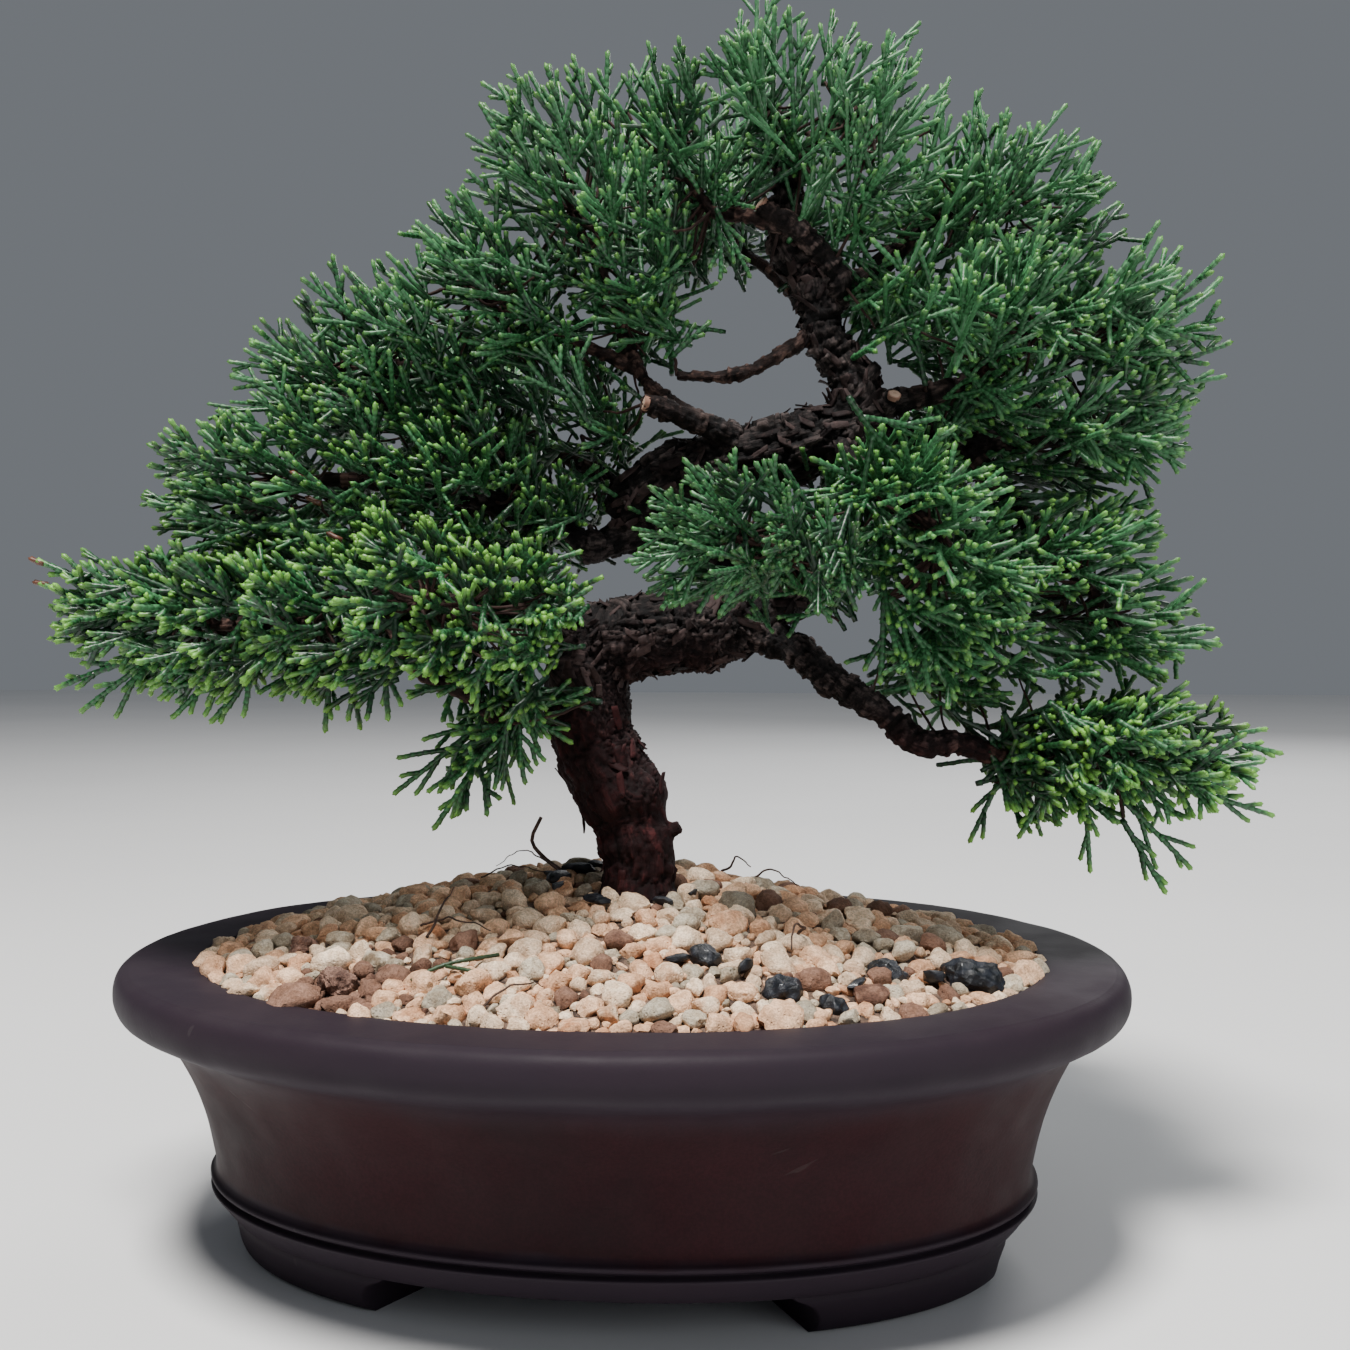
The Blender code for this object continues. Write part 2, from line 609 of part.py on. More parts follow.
# Each pad: rows of x, y, height and three half sizes in millimetres, in the tree's front view.
PADS = {
    "foliage_left_low": ((-94, -10, 129, 16, 20, 10), (-78, -16, 127, 18, 24, 12), (-57, -20, 129, 15, 24, 13)),
    "foliage_left_front": ((-33, -34, 128, 15, 20, 12), (-18, -31, 132, 10, 18, 10), (-40, -32, 139, 13, 18, 8)),
    "foliage_hanging": ((-21, -17, 108, 9, 13, 7), (-32, -17, 99, 8, 12, 8)),
    "foliage_left_mid": ((-82, 4, 155, 16, 24, 12), (-64, 2, 159, 17, 26, 15)),
    "foliage_centre_left": ((-38, 4, 158, 14, 26, 15), (-22, 6, 154, 12, 22, 12)),
    "foliage_left_upper": ((-66, 8, 179, 14, 22, 10), (-49, 6, 187, 16, 24, 12)),
    "foliage_slope": ((-29, 0, 203, 12, 22, 11), (-26, 0, 191, 10, 22, 8)),
    "foliage_inner_left": ((-9, 14, 173, 10, 20, 13), (-11, 16, 158, 7, 16, 8)),
    "foliage_top_left": ((-14, 4, 224, 15, 22, 14), (-1, 2, 209, 13, 22, 13), (3, 2, 195, 8, 16, 7)),
    "foliage_apex_left": ((12, 2, 231, 11, 20, 12),),
    "foliage_apex": ((30, 2, 237, 12, 22, 12), (33, 2, 230, 9, 20, 7)),
    "foliage_apex_right": ((51, -2, 232, 11, 22, 13), (55, -2, 218, 11, 20, 8)),
    "foliage_right_top": ((77, 8, 222, 14, 22, 12), (91, 6, 215, 11, 20, 10)),
    "foliage_right_upper": ((65, -4, 197, 11, 20, 8), (85, -4, 193, 18, 26, 11), (107, 0, 190, 14, 22, 11)),
    "foliage_right_mid": ((84, 6, 173, 14, 24, 7), (101, 4, 168, 16, 24, 11)),
    "foliage_right_front": ((55, -28, 151, 13, 20, 12), (66, -26, 136, 13, 20, 12), (61, -26, 125, 8, 14, 8)),
    "foliage_right_low": ((95, 6, 142, 16, 26, 13), (104, 4, 126, 16, 24, 10), (80, 8, 119, 12, 20, 9)),
    "foliage_right_lowest": ((103, -6, 103, 17, 24, 10), (118, -6, 98, 11, 18, 9), (90, -6, 93, 9, 16, 8)),
    "foliage_front": ((22, -38, 144, 15, 20, 10), (36, -37, 140, 9, 18, 8), (12, -36, 137, 7, 14, 6)),
    "foliage_back_left": ((-46, 50, 177, 24, 20, 18),),
    "foliage_back_right": ((89, 48, 165, 24, 22, 20),),
    "foliage_back_top": ((17, 40, 224, 18, 16, 14),),
}


def pad_body(name, rows, finish):
    """Lumpy closed body through overlapping lobes."""
    size = TREE_HEIGHT / DESIGN_TREE_HEIGHT
    turn = Matrix.Rotation(math.radians(FRONT_TURN_DEG), 3, "Z")
    shape = bmesh.new()
    for row in rows:
        centre = Vector(tree_place(row))
        found = bmesh.ops.create_icosphere(shape, subdivisions=4, radius=1.0)
        for v in found["verts"]:
            out = v.co.normalized()
            rough = 0.10 * noise.noise(out * 2.6 + centre * 90.0) + 0.05 * noise.noise(out * 6.0 + centre * 40.0)
            half = [row[3 + k] * MM * size * PAD_FULLNESS * (1 + rough) for k in range(3)]
            v.co = centre + turn @ Vector((out.x * half[0], out.y * half[1], out.z * half[2]))
    mesh = bpy.data.meshes.new(name)
    shape.to_mesh(mesh)
    shape.free()
    made = bpy.data.objects.new(name, mesh)
    bpy.context.scene.collection.objects.link(made)
    mesh.materials.append(finish)
    weld = made.modifiers.new("Remesh", "REMESH")
    weld.mode = "VOXEL"
    thinnest = min(min(row[3], row[5]) for row in rows) * MM
    weld.voxel_size = min(PAD_DETAIL, thinnest * 1.15) * size
    bpy.context.view_layer.update()
    freeze(made)
    face_outward(made)
    return made


def swollen(made, amount):
    """A hidden copy of an object with its surface moved outward."""
    shape = bmesh.new()
    shape.from_mesh(made.data)
    shape.normal_update()
    moved = [v.co + v.normal * amount for v in shape.verts]
    for v, place in zip(shape.verts, moved):
        v.co = place
    mesh = bpy.data.meshes.new(made.name + "_room")
    shape.to_mesh(mesh)
    shape.free()
    room = bpy.data.objects.new(mesh.name, mesh)
    bpy.context.scene.collection.objects.link(room)
    room.hide_render = True
    room.display_type = "WIRE"
    return room


def bounds(made):
    points = np.array([made.matrix_world @ v.co for v in made.data.vertices])
    return points.min(0), points.max(0)


def may_touch(one, other):
    low, high = bounds(one)
    other_low, other_high = bounds(other)
    return bool((low < other_high).all() and (other_low < high).all())


def make_foliage(finish, wood_room):
    rooms = []
    for name, rows in PADS.items():
        pad = pad_body(name, rows, finish=finish)
        pad_room = swollen(pad, PAD_GAP)
        for room in rooms:
            if may_touch(pad, room):
                combine(pad, room, "DIFFERENCE", keep=True)
        combine(pad, wood_room, "DIFFERENCE", keep=True)
        clean(pad, only_largest=True)
        smooth(pad, 80)
        rooms.append(pad_room)
    for room in rooms:
        bpy.data.objects.remove(room)


def make_dry_root(dressing, finish):
    rows = ((-9, 6, 68, 0.55), (-11, 5, 74, 0.5), (-16, 5, 78, 0.5), (-19, 5, 82, 0.45), (-17, 5, 87, 0.4))
    knots = [(*tree_place(row), row[3] * MM) for row in rows]
    combine(dressing, tube("root_room", knots, 6, grow=GAP), "DIFFERENCE")
    root = tube("dry_root", knots, 6, finish=finish)
    smooth(root)


# ---------------------------------------------------------------- whole object

def stand_on_origin():
    """Moves everything so that the whole stands on the origin, centred."""
    bpy.context.view_layer.update()
    lows, highs = zip(*(bounds(made) for made in bpy.data.objects))
    low, high = np.min(lows, 0), np.max(highs, 0)
    shift = Vector((-(low[0] + high[0]) / 2, -(low[1] + high[1]) / 2, -low[2]))
    for made in bpy.data.objects:
        made.data.transform(Matrix.Translation(shift))


def main():
    for made in list(bpy.data.objects):
        bpy.data.objects.remove(made)
    rng = random.Random(SEED)
    make_pot(material("unglazed_stoneware", (0.026, 0.013, 0.014), 0.62))
    screen = material("screen_plastic", (0.02, 0.02, 0.02), 0.6)
    wire = material("clip_wire", (0.45, 0.44, 0.42), 0.4, 1.0)
    for name, sign in (("left", -1), ("right", 1)):
        make_screen("drain_screen_" + name, sign * DRAIN_SPACING / 2, screen)
        make_clip("screen_clip_" + name, sign * DRAIN_SPACING / 2, wire)
    wood_room = make_wood("wood_room", grow=GAP)
    soil = make_soil(material("potting_mix", (0.09, 0.055, 0.035), 0.95))
    combine(soil, wood_room, "DIFFERENCE", keep=True)
    clean(soil, only_largest=True)
    smooth(soil)
    dressing = make_dressing(material("pumice_grains", (0.58, 0.42, 0.32), 0.9))
    combine(dressing, wood_room, "DIFFERENCE", keep=True)
    make_lumps(dressing, CHARCOAL, material("charcoal", (0.012, 0.013, 0.016), 0.5), rng)
    make_lumps(dressing, LAVA, material("lava_rock", (0.14, 0.07, 0.05), 0.9), rng)
    make_dry_root(dressing, material("dry_root", (0.05, 0.035, 0.03), 0.8))
    clean(dressing, only_largest=True)
    smooth(dressing)
    wood = make_wood("wood", material("bark", (0.075, 0.038, 0.032), 0.85))
    smooth(wood, 60)
    make_foliage(material("foliage", (0.03, 0.11, 0.03), 0.6), wood_room)
    bpy.data.objects.remove(wood_room)
    stand_on_origin()


main()
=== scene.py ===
"""Looks of a juniper bonsai in an unglazed oval pot, built around its CAD frame.

Lengths are in metres and +Z is up. The tree's layout is given in millimetres in the tree's own front
view: x to the right, y to the back, both from the middle of the pot, and z from the floor.
"""

import logging
import math
import random
from dataclasses import dataclass, field
from enum import Enum
from typing import Any

import bmesh
import bpy
import numpy as np
from mathutils import Matrix, Vector, noise
from mathutils.bvhtree import BVHTree
from mathutils.kdtree import KDTree


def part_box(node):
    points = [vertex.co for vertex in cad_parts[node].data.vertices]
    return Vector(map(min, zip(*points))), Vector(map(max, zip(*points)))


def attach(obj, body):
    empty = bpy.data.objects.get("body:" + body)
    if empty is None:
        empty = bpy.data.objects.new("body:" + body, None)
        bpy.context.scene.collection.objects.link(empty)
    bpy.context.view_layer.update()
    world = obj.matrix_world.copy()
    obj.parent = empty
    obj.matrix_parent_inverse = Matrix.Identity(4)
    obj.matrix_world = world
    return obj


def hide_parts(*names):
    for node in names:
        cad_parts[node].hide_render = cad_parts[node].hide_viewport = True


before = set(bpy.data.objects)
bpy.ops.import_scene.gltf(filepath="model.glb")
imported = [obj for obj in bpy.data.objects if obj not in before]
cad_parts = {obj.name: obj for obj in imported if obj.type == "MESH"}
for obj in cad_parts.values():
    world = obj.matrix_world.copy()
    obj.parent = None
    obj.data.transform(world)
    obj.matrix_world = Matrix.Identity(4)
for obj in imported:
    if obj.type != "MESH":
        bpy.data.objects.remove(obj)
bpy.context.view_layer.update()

LOG = logging.getLogger("bonsai")
MM = 0.001
UP = Vector((0.0, 0.0, 1.0))
BODY = "root"
Row = tuple[float, ...]
Colour = tuple[float, float, float]


# ---------------------------------------------------------------- placing and mesh tools


@dataclass(frozen=True)
class Planting:
    """Where the pot's middle is, and how far the tree's front is turned from the pot's long side."""

    middle: Vector
    turn_deg: float = 6.1

    def place(self, row: Row) -> Vector:
        """Turns a layout row into a place.

        Args:
            row: x, y and z in millimetres in the tree's front view.

        Returns:
            The place in the row frame, in metres.
        """
        turned = Matrix.Rotation(math.radians(self.turn_deg), 3, "Z") @ Vector(row[:3])
        return turned * MM + self.middle

    def heading(self, x: float, y: float, z: float) -> Vector:
        """Turns a direction in the tree's front view into one in the row frame."""
        return Matrix.Rotation(math.radians(self.turn_deg), 3, "Z") @ Vector((x, y, z))


def planting_of_pot() -> Planting:
    """Reads the pot's middle from its CAD node."""
    low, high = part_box("pot")
    return Planting(Vector(((low.x + high.x) / 2, (low.y + high.y) / 2, 0.0)))


def unit(rows: np.ndarray) -> np.ndarray:
    """Scales each row of vectors to length one."""
    return rows / np.maximum(np.linalg.norm(rows, axis=-1, keepdims=True), 1e-12)


def curve_through(knots: list[Row], per_span: int) -> np.ndarray:
    """Runs a Catmull-Rom curve through knots.

    Args:
        knots: Rows of equal length, such as x, y, z and radius.
        per_span: Points from one knot to the next.

    Returns:
        The curve's rows, the last knot included.
    """
    rows = np.array(knots, float)
    ends = np.vstack([2 * rows[:1] - rows[1:2], rows, 2 * rows[-1:] - rows[-2:-1]])
    t = (np.arange(per_span) / per_span)[:, None]
    spans = []
    for i in range(1, len(ends) - 2):
        a, b, c, d = ends[i - 1], ends[i], ends[i + 1], ends[i + 2]
        spans.append(0.5 * (2 * b + (c - a) * t + (2 * a - 5 * b + 4 * c - d) * t**2 + (3 * b - a - 3 * c + d) * t**3))
    return np.vstack([*spans, rows[-1:]])


def frames_along(path: np.ndarray) -> tuple[np.ndarray, np.ndarray, np.ndarray]:
    """Carries a pair of cross directions along a path without twist.

    Args:
        path: Points of the path, one row each.

    Returns:
        The headings, and the two cross directions at each point.
    """
    headings = unit(np.gradient(path, axis=0))
    side = np.cross(headings[0], (0.0, 0.0, 1.0) if abs(headings[0][2]) < 0.9 else (1.0, 0.0, 0.0))
    sides = []
    for heading in headings:
        side = side - heading * side.dot(heading)
        side = side / max(np.linalg.norm(side), 1e-12)
        sides.append(side)
    sides = np.array(sides)
    return headings, sides, np.cross(headings, sides)


def tube_rings(path: np.ndarray, radii: np.ndarray, sides: int) -> np.ndarray:
    """Rings of points round a path, in the shape (rings, sides, 3)."""
    _, one, two = frames_along(path)
    angle = 2 * math.pi * np.arange(sides) / sides
    out = np.cos(angle)[None, :, None] * one[:, None] + np.sin(angle)[None, :, None] * two[:, None]
    return path[:, None] + out * radii[:, None, None]


class MeshStore:
    """Gathers tubes and loose shapes for one mesh, with values at their points and a bake cell for each."""

    def __init__(self) -> None:
        """Starts empty."""
        self.points: list[np.ndarray] = []
        self.corners: list[np.ndarray] = []
        self.sizes: list[np.ndarray] = []
        self.values: list[np.ndarray] = []
        self.maps: list[np.ndarray] = []
        self.count = 0

    @staticmethod
    def grid(rings: int, sides: int) -> np.ndarray:
        """Corner numbers of the quads between rings, in the shape (quads, 4)."""
        i, j = np.meshgrid(np.arange(rings - 1), np.arange(sides), indexing="ij")
        low, after = i * sides, (j + 1) % sides
        return np.stack([low + j, low + after, low + sides + after, low + sides + j], -1).reshape(-1, 4)

    def tube(self, rings: np.ndarray, start: np.ndarray, end: np.ndarray, values: np.ndarray) -> None:
        """Adds a closed tube.

        Args:
            rings: Points in the shape (rings, sides, 3).
            start: The point that closes its start.
            end: The point that closes its end.
            values: One row of four values for each ring.
        """
        levels, sides = rings.shape[:2]
        quads = self.grid(levels, sides)
        j = np.arange(sides)
        after = (j + 1) % sides
        first, last = levels * sides, levels * sides + 1
        top = (levels - 1) * sides
        tris = np.concatenate([np.stack([after, j, np.full(sides, first)], -1),
                               np.stack([top + j, top + after, np.full(sides, last)], -1)])
        ring_v = (np.arange(levels) + 1) / (levels + 1)
        u = np.tile(j / sides, levels - 1)
        v = np.repeat(ring_v[:-1], sides)
        step_u, step_v = 1 / sides, 1 / (levels + 1)
        quad_map = np.stack([np.stack([u + a * step_u, v + b * step_v], -1) for a, b in ((0, 0), (1, 0), (1, 1), (0, 1))], 1)
        low, high = ring_v[0], ring_v[-1]
        ends = np.concatenate([
            np.stack([np.stack([(j + 1) * step_u, np.full(sides, low)], -1), np.stack([j * step_u, np.full(sides, low)], -1),
                      np.stack([(j + 0.5) * step_u, np.zeros(sides)], -1)], 1),
            np.stack([np.stack([j * step_u, np.full(sides, high)], -1), np.stack([(j + 1) * step_u, np.full(sides, high)], -1),
                      np.stack([(j + 0.5) * step_u, np.ones(sides)], -1)], 1)])
        self.add(np.concatenate([rings.reshape(-1, 3), [start], [end]]), quads, tris,
                 np.concatenate([np.repeat(values, sides, 0), values[:1], values[-1:]]),
                 np.concatenate([quad_map.reshape(-1, 2), ends.reshape(-1, 2)]))

    def add(self, points: np.ndarray, quads: np.ndarray, tris: np.ndarray, values: np.ndarray,
            cell_map: np.ndarray | None = None) -> None:
        """Adds one shape.

        Args:
            points: Its points.
            quads: Corner numbers of its four-sided faces.
            tris: Corner numbers of its three-sided faces.
            values: Four values for each point.
            cell_map: A place in its own bake cell for each face corner, or None for a mesh with no bake map.
        """
        self.corners.append(np.concatenate([quads.reshape(-1), tris.reshape(-1)]) + self.count)
        self.sizes.append(np.concatenate([np.full(len(quads), 4), np.full(len(tris), 3)]))
        self.points.append(points)
        self.values.append(values)
        if cell_map is not None:
            self.maps.append(cell_map)
        self.count += len(points)

    def make(self, name: str, value_name: str = "growth") -> bpy.types.Object:
        """Makes the object.

        Args:
            name: Its name.
            value_name: The name of the colour attribute that holds the four values.

        Returns:
            The object, shaded smooth.
        """
        mesh = bpy.data.meshes.new(name)
        points, corners = np.concatenate(self.points), np.concatenate(self.corners)
        sizes = np.concatenate(self.sizes)
        mesh.vertices.add(len(points))
        mesh.vertices.foreach_set("co", points.astype(np.float32).reshape(-1))
        mesh.loops.add(len(corners))
        mesh.loops.foreach_set("vertex_index", corners.astype(np.int32))
        mesh.polygons.add(len(sizes))
        mesh.polygons.foreach_set("loop_start", (np.cumsum(sizes) - sizes).astype(np.int32))
        mesh.update(calc_edges=True)
        mesh.shade_smooth()
        made = mesh.attributes.new(value_name, "FLOAT_COLOR", "POINT")
        made.data.foreach_set("color", np.concatenate(self.values).astype(np.float32).reshape(-1))
        if self.maps:
            self.lay_cells(mesh)
        thing = bpy.data.objects.new(name, mesh)
        bpy.context.scene.collection.objects.link(thing)
        return thing

    def lay_cells(self, mesh: bpy.types.Mesh) -> None:
        """Lays each shape's bake cell in a grid over the bake map."""
        across = max(1, math.ceil(math.sqrt(len(self.maps) * 2)))
        down = math.ceil(len(self.maps) / across)
        placed = []
        for i, cell in enumerate(self.maps):
            corner = np.array((i % across, i // across), float)
            placed.append((corner + 0.06 + 0.88 * cell) / (across, down))
        made = mesh.uv_layers.new(name="OFBake")
        made.data.foreach_set("uv", np.concatenate(placed).astype(np.float32).reshape(-1))


def simple_object(name: str, points: Any, faces: list[tuple[int, ...]]) -> bpy.types.Object:
    """Makes an object from points and faces, turned outward and shaded smooth."""
    mesh = bpy.data.meshes.new(name)
    mesh.from_pydata([tuple(p) for p in points], [], faces)
    shape = bmesh.new()
    shape.from_mesh(mesh)
    bmesh.ops.recalc_face_normals(shape, faces=shape.faces)
    if shape.calc_volume(signed=True) < 0:
        bmesh.ops.reverse_faces(shape, faces=shape.faces)
    shape.to_mesh(mesh)
    shape.free()
    mesh.shade_smooth()
    made = bpy.data.objects.new(name, mesh)
    bpy.context.scene.collection.objects.link(made)
    return made


def freeze(made: bpy.types.Object) -> None:
    """Replaces an object's mesh with the one that its modifiers make."""
    bpy.context.view_layer.update()
    graph = bpy.context.evaluated_depsgraph_get()
    frozen = bpy.data.meshes.new_from_object(made.evaluated_get(graph))
    made.modifiers.clear()
    made.data = frozen


def dress(made: bpy.types.Object, finish: bpy.types.Material, slot: str, *nodes: str) -> None:
    """Gives a piece its finish and its body, and hides the CAD nodes that it stands for."""
    made.data.materials.clear()
    made.data.materials.append(finish)
    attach(made, BODY)
    if nodes:
        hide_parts(*nodes)
    LOG.info("%s: %d faces", made.name, len(made.data.polygons))


def refinish(node: str, finish: bpy.types.Material) -> bpy.types.Object:
    """Gives a CAD node that stays in view a better finish."""
    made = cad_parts[node]
    for spot in made.material_slots:
        spot.material = finish
    if not made.material_slots:
        made.data.materials.append(finish)
    LOG.info("%s: CAD node refinished", node)
    return made


# ---------------------------------------------------------------- shading tools


class Sketch:
    """A node tree being wired."""

    def __init__(self, tree: bpy.types.NodeTree) -> None:
        """Keeps the tree."""
        self.tree = tree

    def add(self, kind: str, values: dict[Any, Any] | None = None, **settings: Any) -> bpy.types.Node:
        """Adds a node.

        Args:
            kind: Blender's name for the node.
            values: For each input's name or number, either another node's output or a constant.
            **settings: The node's own options.

        Returns:
            The node.
        """
        node = self.tree.nodes.new(kind)
        for key, value in settings.items():
            setattr(node, key, value)
        for key, value in (values or {}).items():
            if isinstance(value, bpy.types.NodeSocket):
                self.tree.links.new(value, node.inputs[key])
            else:
                node.inputs[key].default_value = value
        return node

    def mix(self, mask: Any, one: Any, two: Any, blend: str = "MIX") -> bpy.types.NodeSocket:
        """Mixes two colours by a mask and returns the colour."""
        node = self.tree.nodes.new("ShaderNodeMix")
        node.data_type = "RGBA"
        node.blend_type = blend
        for at, value in ((0, mask), (6, one), (7, two)):
            if isinstance(value, bpy.types.NodeSocket):
                self.tree.links.new(value, node.inputs[at])
            elif at == 0:
                node.inputs[at].default_value = value
            else:
                node.inputs[at].default_value = (*value, 1.0)
        return node.outputs[2]

    def sum(self, one: Any, two: Any, operation: str = "ADD", clamp: bool = False) -> bpy.types.NodeSocket:
        """Does a sum on two values and returns the result."""
        node = self.add("ShaderNodeMath", {0: one, 1: two}, operation=operation, use_clamp=clamp)
        return node.outputs[0]

    def ramp(self, value: Any, low: float, high: float, to_low: float = 0.0, to_high: float = 1.0) -> bpy.types.NodeSocket:
        """Maps a value smoothly from one range to another."""
        node = self.add("ShaderNodeMapRange", {"Value": value, "From Min": low, "From Max": high,
                                               "To Min": to_low, "To Max": to_high}, interpolation_type="SMOOTHSTEP")
        return node.outputs["Result"]

    def noise(self, place: Any, scale: float, detail: float = 3.0, rough: float = 0.55) -> bpy.types.NodeSocket:
        """Adds a noise and returns its value."""
        node = self.add("ShaderNodeTexNoise", {"Vector": place, "Scale": scale, "Detail": detail, "Roughness": rough})
        return node.outputs["Fac"]

    def place(self) -> bpy.types.NodeSocket:
        """The surface's own place in metres."""
        return self.add("ShaderNodeTexCoord").outputs["Object"]


def new_group(name: str, ins: dict[str, tuple[str, Any]], outs: dict[str, str]) -> tuple[bpy.types.NodeTree, Sketch]:
    """Starts a shader node group.

    Args:
        name: The group's name.
        ins: For each input, its socket type and its starting value.
        outs: For each output, its socket type.

    Returns:
        The group and a sketch of it.
    """
    group = bpy.data.node_groups.new(name, "ShaderNodeTree")
    for label, (kind, start) in ins.items():
        made = group.interface.new_socket(name=label, in_out="INPUT", socket_type=kind)
        if start is not None:
            made.default_value = start
    for label, kind in outs.items():
        group.interface.new_socket(name=label, in_out="OUTPUT", socket_type=kind)
    return group, Sketch(group)


FLOAT, COLOR, VECTOR = "NodeSocketFloat", "NodeSocketColor", "NodeSocketVector"


def mottle_group() -> bpy.types.NodeTree:
    """Two colours in soft patches with fine specks; built once and shared."""
    if "Mottle" in bpy.data.node_groups:
        return bpy.data.node_groups["Mottle"]
    group, sk = new_group(
        "Mottle",
        {"Place": (VECTOR, None), "Patch Scale": (FLOAT, 60.0), "Speck Scale": (FLOAT, 900.0), "Specks": (FLOAT, 0.3),
         "Dark": (COLOR, None), "Light": (COLOR, None)},
        {"Color": COLOR, "Mask": FLOAT, "Height": FLOAT})
    src = sk.add("NodeGroupInput").outputs
    patch = sk.add("ShaderNodeTexNoise", {"Vector": src["Place"], "Scale": src["Patch Scale"], "Detail": 5.0,
                                          "Roughness": 0.6})
    speck = sk.add("ShaderNodeTexNoise", {"Vector": src["Place"], "Scale": src["Speck Scale"], "Detail": 2.0,
                                          "Roughness": 0.7})
    mask = sk.ramp(patch.outputs["Fac"], 0.34, 0.66)
    colour = sk.mix(mask, src["Dark"], src["Light"])
    fleck = sk.sum(sk.ramp(speck.outputs["Fac"], 0.30, 0.72, -0.5, 0.5), src["Specks"], "MULTIPLY")
    bright = sk.sum(fleck, 1.0)
    spread = sk.add("ShaderNodeCombineColor", {0: bright, 1: bright, 2: bright}).outputs[0]
    out = sk.add("NodeGroupOutput")
    sk.tree.links.new(sk.mix(1.0, colour, spread, "MULTIPLY"), out.inputs["Color"])
    sk.tree.links.new(mask, out.inputs["Mask"])
    sk.tree.links.new(sk.sum(patch.outputs["Fac"], sk.sum(speck.outputs["Fac"], 0.6, "MULTIPLY")), out.inputs["Height"])
    return group


def dust_group() -> bpy.types.NodeTree:
    """Dust that settles on what faces up, in broken patches; built once and shared."""
    if "Dust" in bpy.data.node_groups:
        return bpy.data.node_groups["Dust"]
    group, sk = new_group("Dust", {"Place": (VECTOR, None), "Amount": (FLOAT, 0.4), "Scale": (FLOAT, 120.0)}, {"Mask": FLOAT})
    src = sk.add("NodeGroupInput").outputs
    facing = sk.add("ShaderNodeSeparateXYZ", {0: sk.add("ShaderNodeNewGeometry").outputs["Normal"]}).outputs["Z"]
    broken = sk.add("ShaderNodeTexNoise", {"Vector": src["Place"], "Scale": src["Scale"], "Detail": 6.0, "Roughness": 0.65})
    mask = sk.sum(sk.ramp(facing, 0.2, 0.95), sk.ramp(broken.outputs["Fac"], 0.40, 0.68), "MULTIPLY")
    out = sk.add("NodeGroupOutput")
    sk.tree.links.new(sk.sum(mask, src["Amount"], "MULTIPLY", True), out.inputs["Mask"])
    return group


def use_group(sk: Sketch, group: bpy.types.NodeTree, values: dict[str, Any]) -> Any:
    """Places a group in a material with its own values and returns its outputs."""
    node = sk.tree.nodes.new("ShaderNodeGroup")
    node.node_tree = group
    for key, value in values.items():
        if isinstance(value, bpy.types.NodeSocket):
            sk.tree.links.new(value, node.inputs[key])
        elif isinstance(value, tuple):
            node.inputs[key].default_value = (*value, 1.0)
        else:
            node.inputs[key].default_value = value
    return node.outputs


def start_material(name: str, constants: dict[str, Any]) -> tuple[bpy.types.Material, Sketch, bpy.types.Node]:
    """Starts a material whose Principled shader has these constants on its own sockets."""
    made = bpy.data.materials.new(name)
    made.use_nodes = True
    shader = made.node_tree.nodes["Principled BSDF"]
    for key, value in constants.items():
        shader.inputs[key].default_value = value
    return made, Sketch(made.node_tree), shader


def feed(sk: Sketch, shader: bpy.types.Node, colour: Any = None, rough: Any = None, height: Any = None,
         strength: float = 0.4, depth: float = 0.0004) -> None:
    """Links a colour, a roughness and a bump height to a shader."""
    if colour is not None:
        sk.tree.links.new(colour, shader.inputs["Base Color"])
    if rough is not None:
        sk.tree.links.new(rough, shader.inputs["Roughness"])
    if height is not None:
        bump = sk.add("ShaderNodeBump", {"Height": height, "Strength": strength, "Distance": depth})
        sk.tree.links.new(bump.outputs["Normal"], shader.inputs["Normal"])


# ---------------------------------------------------------------- finishes


